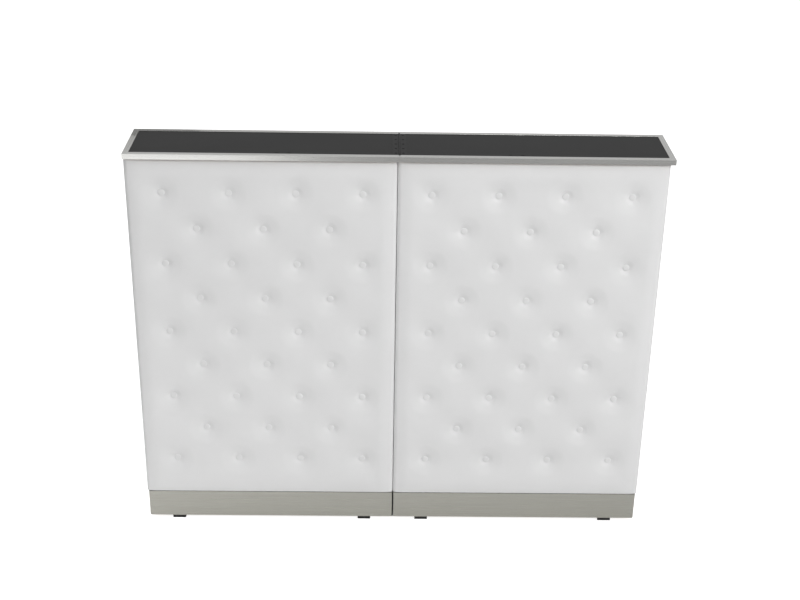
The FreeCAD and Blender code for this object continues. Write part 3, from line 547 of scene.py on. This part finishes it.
def eased(node, width, steps):
    """A copy with rounded edges, in the place of its node."""
    build = merged_copy(node)
    mesh = bpy.data.meshes.new(node + "_eased")
    build.to_mesh(mesh)
    build.free()
    piece = new_piece(node + "_eased", mesh)
    if width:
        bevel = piece.modifiers.new("eased edges", "BEVEL")
        bevel.width = width
        bevel.segments = steps
        bevel.limit_method = "ANGLE"
        bevel.angle_limit = SHARP
        apply_modifiers(piece)
    piece.data.shade_smooth()
    piece.data.set_sharp_from_angle(angle=SHARP)
    flat = piece.modifiers.new("flat faces stay flat", "WEIGHTED_NORMAL")
    flat.keep_sharp = True
    apply_modifiers(piece)
    settle(piece, node)
    return piece


# width of the rounding and its steps; a bent or round piece needs none
EASED = {
    "kick_plate": (0.3 * MM, 2),
    "top_trim": (0.4 * MM, 3),
    "top_insert": (0.3 * MM, 1),
    "top_core": (0.4 * MM, 1),
    "bottom_board": (0.8 * MM, 2),
    "front_board": (0.8 * MM, 2),
    "inner_end_panel": (0.8 * MM, 2),
    "outer_end_panel": (0.8 * MM, 2),
    "top_board": (0.8 * MM, 2),
    "shelves": (1.0 * MM, 3),
    "bottle_rails": (0.6 * MM, 2),
    "plinth_rails": (0.8 * MM, 2),
    "foot_blocks": (0.8 * MM, 2),
    "rubber_feet": (1.2 * MM, 3),
    "handle_plate": (0.5 * MM, 2),
    "handle_bail": (0.0, 0),
    "end_cover": (1.6 * MM, 4),
    "keeper_plate": (0.3 * MM, 2),
    "top_hinge_leaf": (0.0, 0),
    "fold_hinge_leaf": (0.0, 0),
    "shelf_pins": (0.5 * MM, 2),
    "top_magnet": (0.4 * MM, 2),
    "seam_magnets": (0.3 * MM, 2),
}
PIN_EASE = (0.3 * MM, 2)
pieces = {}
for kind, (width, steps) in EASED.items():
    for side in SIDES:
        pieces[f"{kind}_{side}"] = eased(f"{kind}_{side}", width, steps)
for node in ("top_hinge_pin", "fold_hinge_pin", "top_dowels"):
    pieces[node] = eased(node, *PIN_EASE)
print(len(pieces), "eased pieces")

# %% [markdown]
# The brushed lines follow each bar of sheet. A face is turned when its sheet runs from front to
# back: the ends of the kick plates and the short bars of the top frame, up to the mitre.

# %% Turned faces
def mark_turned(piece, test):
    """Marks the faces whose middle and normal pass a test, and counts them."""
    mesh = piece.data
    marks = [1.0 if test(face.center, face.normal) else 0.0 for face in mesh.polygons]
    mesh.attributes.new("turned", "FLOAT", "FACE").data.foreach_set("value", marks)
    return sum(marks)


for side in SIDES:
    low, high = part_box(f"top_trim_{side}")
    end = low.x if side == "left" else high.x
    trim = pieces[f"top_trim_{side}"]
    count = mark_turned(
        trim, lambda spot, normal: abs(spot.x - end) < min(spot.y - low.y, high.y - spot.y))
    kick = pieces[f"kick_plate_{side}"]
    mark_turned(kick, lambda spot, normal: abs(normal.x) > abs(normal.y))
    kick.data.materials[0] = finishes["warm_steel"]
    print(side, int(count), "turned faces on the top frame")

# %% [markdown]
# The tufted front. Vinyl lies over foam and is pulled down by buttons in a staggered pattern, so
# the foam swells a little between them and rolls over at the edges. It could be sculpted by hand,
# but a rule and a simulation come closer to the real thing. First a sheet is laid out: a net of
# squares whose height follows the rolled edge and the pull of the nearest button. Cloth then
# blows the sheet up from behind while the edge and the buttons hold it, and the swelling is capped.

# %% Where the tufts are
BUTTON_RADIUS = 10 * MM
COLUMNS, ROWS = 4, 9


def tuft_grid(side):
    """Middles of the tufts as x and z, from the box of the buttons."""
    low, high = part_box(f"tuft_buttons_{side}")
    first, last = low.x + BUTTON_RADIUS, high.x - BUTTON_RADIUS
    top, bottom = high.z - BUTTON_RADIUS, low.z + BUTTON_RADIUS
    across = (last - first) / (COLUMNS - 1)
    down = (top - bottom) / (ROWS - 1)
    spots = []
    for row in range(ROWS):
        short = row % 2
        for column in range(COLUMNS - short):
            spots.append((first + (column + short / 2) * across, top - row * down))
    return np.array(spots), across, down


tufts = {side: tuft_grid(side) for side in SIDES}
print({side: len(spots) for side, (spots, _, _) in tufts.items()}, "tufts")

# %% [markdown]
# The rule for the height of the sheet has two parts. Towards the edges the foam falls off slowly,
# the crown, and then rolls over with a small radius. Towards each button the vinyl dives to its
# seat in a cone, with a pucker close around the button and a few faint pleats farther out. The
# number of pleats and their turn are drawn at random for each button.

# %% Shape of the padding
NET = 6 * MM  # side of a square in the net
ROLL = 9 * MM  # radius of the rolled edge
EDGE_LINES = (0, 0.03, 0.1, 0.22, 0.4, 0.65, 1.0, 1.5)  # lines of the net there, in radii
CROWN, CROWN_WIDTH, CROWN_CURVE = 4.5 * MM, 42 * MM, 1.25  # slow fall towards the sides
TOP_ROLL, TOP_CROWN = 4 * MM, 3 * MM  # the edge under the steel of the top
LOW_ROLL, LOW_CROWN = 3 * MM, 2 * MM  # the edge above the kick plate
SEAT_RADIUS = 10.5 * MM  # flat under the button
HELD_RADIUS = SEAT_RADIUS + 2 * MM  # what the button holds while the sheet swells
TUFT_REACH = 54 * MM
TUFT_CURVE = 1.4  # how sharply the vinyl dives to the button
PUCKER, PUCKER_WIDTH = 0.22, 6 * MM  # share of the depth that lies close around the button
PLEAT, PLEAT_PLACE, PLEAT_WIDTH = 0.5 * MM, 20 * MM, 9 * MM
PLEATS = (5, 8)  # least and most of them around a button
SWELL = 1.0 * MM  # the sheet starts this much lower than the finished padding


def net_lines(low, high):
    """Places of the net's lines, closer together on the rolled edge."""
    edge = np.array(EDGE_LINES) * ROLL
    count = round((high - low - 2 * edge[-1]) / NET)
    middle = np.linspace(low + edge[-1], high - edge[-1], count + 1)
    return np.concatenate([low + edge[:-1], middle, (high - edge[:-1])[::-1]])


def padding_depth(x, z, low, high, spots, depth, chance):
    """How far the vinyl lies behind the front of the padding, and from the nearest button."""
    # the falls of the four edges are added as cubes, so the steepest leads and corners stay round
    rolled, crowned = 0, 0
    for inset, roll, crown in ((x - low.x, ROLL, CROWN), (high.x - x, ROLL, CROWN),
                               (high.z - z, TOP_ROLL, TOP_CROWN), (z - low.z, LOW_ROLL, LOW_CROWN)):
        near = np.clip(1 - inset / roll, 0, 1)
        rolled = rolled + (roll * (1 - np.sqrt(1 - near ** 2))) ** 3
        crowned = crowned + (crown * np.clip(1 - inset / CROWN_WIDTH, 0, 1) ** CROWN_CURVE) ** 3
    fall = np.minimum(np.cbrt(rolled) + np.cbrt(crowned), ROLL + CROWN)

    gap_x = x[..., None] - spots[:, 0]
    gap_z = z[..., None] - spots[:, 1]
    reach = np.hypot(gap_x, gap_z)
    nearest = reach.argmin(axis=-1)
    radius = np.take_along_axis(reach, nearest[..., None], -1)[..., 0]
    angle = np.arctan2(*(np.take_along_axis(gap, nearest[..., None], -1)[..., 0]
                         for gap in (gap_z, gap_x)))
    away = np.maximum(radius - SEAT_RADIUS, 0)
    cone = np.clip(1 - away / (TUFT_REACH - SEAT_RADIUS), 0, 1) ** TUFT_CURVE
    pull = cone + PUCKER * (np.exp(-(away / PUCKER_WIDTH) ** 2) - cone)
    folds = np.array([chance.randint(*PLEATS) for _ in spots])[nearest]
    start = np.array([chance.uniform(0, math.tau) for _ in spots])[nearest]
    ring = np.exp(-((radius - PLEAT_PLACE) / PLEAT_WIDTH) ** 2)
    pleats = PLEAT * np.cos(folds * angle + start) * ring
    return (fall + SWELL) * (1 - pull) + (depth + pleats) * pull, radius


def padding_sheet(side):
    """The sheet before it swells: object, numbers of the held points, and the net's two counts."""
    low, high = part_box(f"tufted_pad_{side}")
    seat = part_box(f"tuft_buttons_{side}")[1].y
    xs, zs = net_lines(low.x, high.x), net_lines(low.z, high.z)
    x, z = np.meshgrid(xs, zs)
    chance = random.Random(f"tufts {side}")
    fall, radius = padding_depth(x, z, low, high, tufts[side][0], seat - low.y, chance)
    wide, tall = len(xs), len(zs)
    points = np.stack([x, low.y + fall, z], axis=-1).reshape(-1, 3)
    number = np.arange(wide * tall).reshape(tall, wide)
    faces = [(number[j, i], number[j, i + 1], number[j + 1, i + 1], number[j + 1, i])
             for j in range(tall - 1) for i in range(wide - 1)]

    # the sheet goes round the edge to the back
    rim = list(number[0]) + list(number[1:, -1]) + list(number[-1, -2::-1]) + list(number[-2:0:-1, 0])
    back = len(points) + np.arange(len(rim))
    points = np.concatenate([points, [(points[i][0], high.y, points[i][2]) for i in rim]])
    for k in range(len(rim)):
        after = (k + 1) % len(rim)
        faces.append((rim[after], rim[k], back[k], back[after]))
    mesh = bpy.data.meshes.new(f"padding_{side}")
    mesh.from_pydata(points.tolist(), [], [[int(i) for i in face] for face in faces])
    held = set(int(i) for i in rim) | set(int(i) for i in back)
    held |= set(np.flatnonzero(radius.reshape(-1) < HELD_RADIUS).tolist())
    return new_piece(f"padding_{side}", mesh), held, wide, tall


padding = {side: padding_sheet(side) for side in SIDES}
print({side: len(made[0].data.vertices) for side, made in padding.items()}, "points")

# %% [markdown]
# Cloth with pressure and no gravity. Points of the edge and the seats of the buttons are pinned.
# After twenty steps the way that each point has gone is cut to a few millimetres and smoothed over
# the net, so that the padding stays clear of the steel above and below and shows no wrinkles.

# %% Swell the padding
CLOTH_FRAMES = 20
CLOTH = {
    "vertex_group_mass": "held",
    "quality": 5,
    "mass": 0.3,
    "tension_stiffness": 25,
    "compression_stiffness": 25,
    "shear_stiffness": 10,
    "bending_stiffness": 2,
    "use_pressure": True,
    "uniform_pressure_force": 4.0,
}
SWELL_CAP = 3.0 * MM
SMOOTHING = 10  # rounds that take small wrinkles out of the swelling
TINY = 1e-9  # keeps a point that stays in its place from being divided by zero


def swell(piece, held, wide, tall):
    """Blows up a sheet, and gives how far its points went before the cap: median and most."""
    pinned = [i for i in held if i < wide * tall]
    group = piece.vertex_groups.new(name="held")
    group.add(sorted(held), 1.0, "REPLACE")
    start = np.array([v.co for v in piece.data.vertices])
    cloth = piece.modifiers.new("cloth", "CLOTH")
    for name, value in CLOTH.items():
        setattr(cloth.settings, name, value)
    cloth.settings.effector_weights.gravity = 0
    cloth.point_cache.frame_start = 1
    cloth.point_cache.frame_end = CLOTH_FRAMES
    for step in range(1, CLOTH_FRAMES + 1):
        scene.frame_set(step)
    mesh = evaluated_mesh(piece)
    moved = np.array([v.co for v in mesh.vertices]) - start
    bpy.data.meshes.remove(mesh)
    piece.modifiers.clear()
    piece.vertex_groups.clear()
    scene.frame_set(1)
    length = np.linalg.norm(moved, axis=1, keepdims=True)
    moved *= np.minimum(1, SWELL_CAP / np.maximum(length, TINY))
    net = moved[:wide * tall].reshape(tall, wide, 3)
    for _ in range(SMOOTHING):
        net[1:-1, 1:-1] = (net[:-2, 1:-1] + net[2:, 1:-1] + net[1:-1, :-2] + net[1:-1, 2:]) / 4
        net.reshape(-1, 3)[pinned] = 0
    piece.data.vertices.foreach_set("co", (start + moved).astype(np.float32).reshape(-1))
    piece.data.update()
    return float(np.median(length)), float(length.max())


for side, made in padding.items():
    print(side, "moved, median and most:", swell(*made))

# %% [markdown]
# One subdivision rounds the net off, and one face closes the back.

# %% Finish the padding
def close_back(piece):
    """One face over the hole at the back, where the padding lies on its board."""
    build = bmesh.new()
    build.from_mesh(piece.data)
    bmesh.ops.holes_fill(build, edges=[e for e in build.edges if e.is_boundary], sides=0)
    bmesh.ops.recalc_face_normals(build, faces=build.faces)
    build.to_mesh(piece.data)
    build.free()


for side, (piece, *_) in padding.items():
    rounder = piece.modifiers.new("rounder", "SUBSURF")
    rounder.levels = 1
    apply_modifiers(piece)
    close_back(piece)
    piece.data.shade_smooth()
    piece.data.set_sharp_from_angle(angle=SHARP)
    settle(piece, f"tufted_pad_{side}")
    print(piece.name, len(piece.data.polygons), "faces")

# %% [markdown]
# Buttons and screws come in great numbers, so both are made by Geometry Nodes. These helpers start
# a tree with named inputs, add one sum to it, and run a tree to get a plain mesh.

# %% Helper for geometry trees
GEOMETRY, INTEGER, MATERIAL = "NodeSocketGeometry", "NodeSocketInt", "NodeSocketMaterial"


def new_tree(name, inputs):
    """A geometry tree with named inputs: the tree, its input node and its output node."""
    tree = bpy.data.node_groups.new(name, "GeometryNodeTree")
    tree.interface.new_socket("Geometry", in_out="INPUT", socket_type=GEOMETRY)
    for title, kind in inputs:
        tree.interface.new_socket(title, in_out="INPUT", socket_type=kind)
    tree.interface.new_socket("Geometry", in_out="OUTPUT", socket_type=GEOMETRY)
    return tree, tree.nodes.new("NodeGroupInput"), tree.nodes.new("NodeGroupOutput")


def math_node(tree, operation, *values):
    """One sum: its result."""
    return add(tree, "ShaderNodeMath", {"operation": operation}, dict(enumerate(values))).outputs[0]


def run_tree(name, tree, mesh, values):
    """A plain mesh made by a geometry tree from a start mesh."""
    piece = new_piece(name, mesh)
    modifier = piece.modifiers.new(tree.name, "NODES")
    modifier.node_group = tree
    for item in tree.interface.items_tree:
        if item.in_out == "INPUT" and item.name in values:
            modifier[item.identifier] = values[item.name]
    apply_modifiers(piece)
    return piece


print("geometry helpers ready")

# %% [markdown]
# The covered buttons. Sixty-four equal caps sit in the tufts: two grids of points, one for the
# longer rows and one for the rows between, share one middle. A flattened ball is set on every
# point. The tree's inputs are the sizes a maker would ask for.

# %% Tree: buttons in staggered rows
UPRIGHT = (math.pi / 2, 0, 0)  # lays a flat pattern on the front, and turns a cap to face it
CAP_SEGMENTS, CAP_RINGS = 24, 12
CAP_CURVE = 0.45  # below 1, the cap is flatter in the middle and rounder at its rim
CAP_UNDER = 0.1  # how much is left of the ball's lower half

tree, given, out = new_tree("button_rows", [
    ("Columns", INTEGER), ("Rows", INTEGER), ("Across", FLOAT), ("Down", FLOAT), ("Middle", VECTOR),
    ("Diameter", FLOAT), ("Height", FLOAT), ("Finish", MATERIAL)])
asked = given.outputs
grids = []
for fewer, extra in ((0, 1), (1, 0)):
    columns = math_node(tree, "SUBTRACT", asked["Columns"], float(fewer))
    halved = math_node(tree, "MULTIPLY", math_node(tree, "ADD", asked["Rows"], float(extra)), 0.5)
    rows = math_node(tree, "FLOOR", halved)
    width = math_node(tree, "MULTIPLY", math_node(tree, "SUBTRACT", columns, 1.0), asked["Across"])
    height = math_node(tree, "MULTIPLY", math_node(tree, "SUBTRACT", rows, 1.0),
                       math_node(tree, "MULTIPLY", asked["Down"], 2.0))
    grids.append(add(tree, "GeometryNodeMeshGrid",
                     inputs={"Vertices X": columns, "Vertices Y": rows,
                             "Size X": width, "Size Y": height}))
points = tree.nodes.new("GeometryNodeJoinGeometry")
for grid in grids:
    tree.links.new(grid.outputs["Mesh"], points.inputs[0])
field = add(tree, "GeometryNodeTransform",
            inputs={"Geometry": points.outputs[0], "Translation": asked["Middle"], "Rotation": UPRIGHT})
ball = add(tree, "GeometryNodeMeshUVSphere",
           inputs={"Segments": CAP_SEGMENTS, "Rings": CAP_RINGS, "Radius": 1.0})
place = tree.nodes.new("GeometryNodeInputPosition")
split = add(tree, "ShaderNodeSeparateXYZ", inputs={0: place.outputs[0]})
lift = math_node(tree, "POWER", math_node(tree, "MAXIMUM", split.outputs["Z"], 0.0), CAP_CURVE)
below = math_node(tree, "MULTIPLY", split.outputs["Z"], CAP_UNDER)
flat = math_node(tree, "ADD", lift, math_node(tree, "MINIMUM", below, 0.0))
capped = add(tree, "ShaderNodeCombineXYZ",
             inputs={0: split.outputs["X"], 1: split.outputs["Y"], 2: flat})
cap = add(tree, "GeometryNodeSetPosition",
          inputs={"Geometry": ball.outputs["Mesh"], "Position": capped.outputs[0]})
radius = math_node(tree, "MULTIPLY", asked["Diameter"], 0.5)
size = add(tree, "ShaderNodeCombineXYZ", inputs={0: radius, 1: radius, 2: asked["Height"]})
sized = add(tree, "GeometryNodeTransform", inputs={"Geometry": cap.outputs[0], "Scale": size.outputs[0]})
copies = add(tree, "GeometryNodeInstanceOnPoints",
             inputs={"Points": field.outputs[0], "Instance": sized.outputs[0], "Rotation": UPRIGHT})
real = add(tree, "GeometryNodeRealizeInstances", inputs={0: copies.outputs[0]})
smooth = add(tree, "GeometryNodeSetShadeSmooth", inputs={0: real.outputs[0]})
painted = add(tree, "GeometryNodeSetMaterial",
              inputs={"Geometry": smooth.outputs[0], "Material": asked["Finish"]})
tree.links.new(painted.outputs[0], out.inputs[0])
button_rows = tree
print("tree", tree.name)

# %% Buttons
CAP_HEIGHT = 0.65  # the vinyl round a button hides the rest of it
for side in SIDES:
    node = f"tuft_buttons_{side}"
    low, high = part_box(node)
    _, across, down = tufts[side]
    piece = run_tree(f"covered_buttons_{side}", button_rows, bpy.data.meshes.new("start"), {
        "Columns": COLUMNS, "Rows": ROWS, "Across": across, "Down": down,
        "Middle": ((low.x + high.x) / 2, high.y, (low.z + high.z) / 2),
        "Diameter": 2 * BUTTON_RADIUS, "Height": CAP_HEIGHT * (high.y - low.y),
        "Finish": finishes[slot_of[node]]})
    settle(piece, node)
    print(piece.name, len(piece.data.polygons), "faces")

# %% [markdown]
# Screws. The solids are plain cones and stems, and a real head has a cross in it. The tree makes
# one screw from its sizes: a head, a stem, and a cross cut out of the head with a Boolean. It
# sets the screw on points, turned to each point's own direction.

# %% Tree: screws with a cross
HEAD_SIDES, STEM_SIDES = 24, 12
BLADE_LONG, BLADE_THIN = 0.62, 0.15  # a bar of the cross, in widths of the head
BLADE_DEEP = 1.3  # height of the blade that cuts it, in depths of the head; half of it cuts

tree, given, out = new_tree("cross_screws", [
    ("Head", FLOAT), ("Under", FLOAT), ("Sink", FLOAT), ("Stem", FLOAT), ("Length", FLOAT),
    ("Finish", MATERIAL)])
asked = given.outputs
radius, under, stem_radius = (math_node(tree, "MULTIPLY", asked[name], 0.5)
                              for name in ("Head", "Under", "Stem"))
low = math_node(tree, "MULTIPLY", asked["Sink"], -1.0)
head = add(tree, "GeometryNodeMeshCone",
           inputs={"Vertices": HEAD_SIDES, "Radius Top": radius, "Radius Bottom": under,
                   "Depth": asked["Sink"]})
down = add(tree, "ShaderNodeCombineXYZ", inputs={2: low})
seated = add(tree, "GeometryNodeTransform",
             inputs={"Geometry": head.outputs["Mesh"], "Translation": down.outputs[0]})
blade_long = math_node(tree, "MULTIPLY", asked["Head"], BLADE_LONG)
blade_thin = math_node(tree, "MULTIPLY", asked["Head"], BLADE_THIN)
blade_deep = math_node(tree, "MULTIPLY", asked["Sink"], BLADE_DEEP)
cross = []
for x, y in ((blade_long, blade_thin), (blade_thin, blade_long)):
    size = add(tree, "ShaderNodeCombineXYZ", inputs={0: x, 1: y, 2: blade_deep})
    cross.append(add(tree, "GeometryNodeMeshCube", inputs={"Size": size.outputs[0]}))
slotted = add(tree, "GeometryNodeMeshBoolean", {"operation": "DIFFERENCE", "solver": "EXACT"},
              {"Mesh 1": seated.outputs[0]})
for blade in cross:
    tree.links.new(blade.outputs["Mesh"], slotted.inputs["Mesh 2"])
stem_long = math_node(tree, "SUBTRACT", asked["Length"], asked["Sink"])
stem = add(tree, "GeometryNodeMeshCylinder",
           inputs={"Vertices": STEM_SIDES, "Radius": stem_radius, "Depth": stem_long})
middle = math_node(tree, "SUBTRACT", low, math_node(tree, "MULTIPLY", stem_long, 0.5))
drop = add(tree, "ShaderNodeCombineXYZ", inputs={2: middle})
hung = add(tree, "GeometryNodeTransform",
           inputs={"Geometry": stem.outputs["Mesh"], "Translation": drop.outputs[0]})
screw = tree.nodes.new("GeometryNodeJoinGeometry")
for share in (slotted, hung):
    tree.links.new(share.outputs[0], screw.inputs[0])
facing = add(tree, "GeometryNodeInputNamedAttribute", {"data_type": "FLOAT_VECTOR"}, {"Name": "facing"})
turn = add(tree, "FunctionNodeAlignRotationToVector", {"axis": "Z"}, {"Vector": facing.outputs[0]})
copies = add(tree, "GeometryNodeInstanceOnPoints",
             inputs={"Points": asked["Geometry"], "Instance": screw.outputs[0],
                     "Rotation": turn.outputs[0]})
real = add(tree, "GeometryNodeRealizeInstances", inputs={0: copies.outputs[0]})
painted = add(tree, "GeometryNodeSetMaterial",
              inputs={"Geometry": real.outputs[0], "Material": asked["Finish"]})
tree.links.new(painted.outputs[0], out.inputs[0])
cross_screws = tree
print("tree", tree.name)

# %% [markdown]
# Where the screws are, and how large, is read from the solids, so that none is forgotten. Each
# separate solid of a node is one screw, the longest way through it is its axis, and its wider end
# is the head. Screws of equal sizes are made in one run of the tree.

# %% Screws
SIZE_DIGITS = 5  # sizes in metres are rounded to this many digits


def islands(build):
    """The separate solids of a mesh, as arrays of points."""
    build.verts.index_update()
    seen = [False] * len(build.verts)
    for first in build.verts:
        found, todo = [], [first]
        while todo:
            vert = todo.pop()
            if seen[vert.index]:
                continue
            seen[vert.index] = True
            found.append(vert.co.copy())
            todo.extend(edge.other_vert(vert) for edge in vert.link_edges)
        if found:
            yield np.array(found)


def read_screw(points):
    """A screw's head, direction and sizes, rounded so that equal screws compare as equal."""
    low, high = points.min(0), points.max(0)
    axis = int((high - low).argmax())
    middle = (low + high) / 2
    reach = np.hypot(*(np.delete(points, axis, 1) - np.delete(middle, axis)).T)
    along = points[:, axis]
    ends = [reach[np.abs(along - end) < WELD].max() for end in (low[axis], high[axis])]
    sign = 1 if ends[1] > ends[0] else -1
    top = high[axis] if sign > 0 else low[axis]
    depth = np.abs(along - top)
    head, stem = (reach[np.abs(depth - d) < WELD].max() for d in (0, depth.max()))
    sink = depth[reach < stem + WELD].min()
    under = reach[np.abs(depth - sink) < WELD].max()
    place, facing = middle.copy(), np.zeros(3)
    place[axis], facing[axis] = top, sign
    sizes = (2 * head, 2 * under, sink, 2 * stem, depth.max())
    return place, facing, tuple(round(float(size), SIZE_DIGITS) for size in sizes)


def cross_headed(node):
    """All screws of a node as one piece."""
    build = merged_copy(node)
    kinds = {}
    for points in islands(build):
        place, facing, sizes = read_screw(points)
        kinds.setdefault(sizes, []).append((place, facing))
    build.free()
    whole = bmesh.new()
    for (head, under, sink, stem, length), screws in kinds.items():
        start = bpy.data.meshes.new("start")
        start.from_pydata([place.tolist() for place, _ in screws], [], [])
        start.attributes.new("facing", "FLOAT_VECTOR", "POINT").data.foreach_set(
            "vector", np.concatenate([facing for _, facing in screws]).astype(np.float32))
        piece = run_tree("screws", cross_screws, start, {
            "Head": head, "Under": under, "Sink": sink, "Stem": stem, "Length": length,
            "Finish": finishes[slot_of[node]]})
        whole.from_mesh(piece.data)
        bpy.data.objects.remove(piece)
    mesh = bpy.data.meshes.new(node + "_cross")
    whole.to_mesh(mesh)
    whole.free()
    piece = new_piece(node + "_cross", mesh)
    settle(piece, node)
    return piece, kinds


for kind in ("top_screws", "fold_screws", "wood_screws"):
    for side in SIDES:
        piece, kinds = cross_headed(f"{kind}_{side}")
        if kind == "top_screws":
            piece.data.materials[0] = finishes["dark_screw"]
        print(piece.name, {sizes: len(screws) for sizes, screws in kinds.items()})

# %% [markdown]
# The seam is dark, although the two sections stand a few millimetres apart: strips of black rubber
# on the left section fill the gap as painted shade, standing for the shade deep in the seam, where
# the floor that glows for the camera would show white. There is a long one on the box and its
# plinth, and a short one on the kick plate. A strip has a flat back that is stuck down and a round
# face, so its outline is half an ellipse, drawn out upwards.

# %% Seam strips
STRIP_WIDTH = 8 * MM
STRIP_INSET = 1 * MM  # from the edges of the panel and the kick plate
STRIP_CLEAR = 0.3 * MM  # from the panel and the kick plate on the right
STRIP_STEPS = 12  # of the round face


def round_strip(name, wall, face, middle, foot, head):
    """An upright strip with its flat back on a wall."""
    build = bmesh.new()
    rings = []
    for z in (foot, head):
        ring = []
        for step in range(STRIP_STEPS + 1):
            turn = math.pi * (step / STRIP_STEPS - 0.5)
            x = wall + (face - wall) * math.cos(turn)
            y = middle + STRIP_WIDTH / 2 * math.sin(turn)
            ring.append(build.verts.new((x, y, z)))
        rings.append(ring)
    for ring in rings:
        build.faces.new(ring)
    for step in range(-1, STRIP_STEPS):
        build.faces.new([rings[0][step], rings[0][step + 1], rings[1][step + 1], rings[1][step]])
    bmesh.ops.recalc_face_normals(build, faces=build.faces)
    mesh = bpy.data.meshes.new(name)
    build.to_mesh(mesh)
    build.free()
    return new_piece(name, mesh)


strip_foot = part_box("kick_plate_left")[0].z + STRIP_INSET
# black strips in the gap: painted shade that stands for the dark depth of the seam
for name, carrier in (("seam_strip", "inner_end_panel"), ("kick_strip", "kick_plate")):
    low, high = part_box(f"{carrier}_left")
    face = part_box(f"{carrier}_right")[0].x - STRIP_CLEAR
    middle = low.y + STRIP_INSET + STRIP_WIDTH / 2
    strip = round_strip(name, high.x, face, middle, strip_foot, high.z - STRIP_INSET)
    strip.data.shade_smooth()
    strip.data.set_sharp_from_angle(angle=SHARP)
    strip.data.materials.append(finishes["rubber"])
    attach(strip, body_of[f"{carrier}_left"])
    print(name, round((face - high.x) / MM, 1), "mm thick")
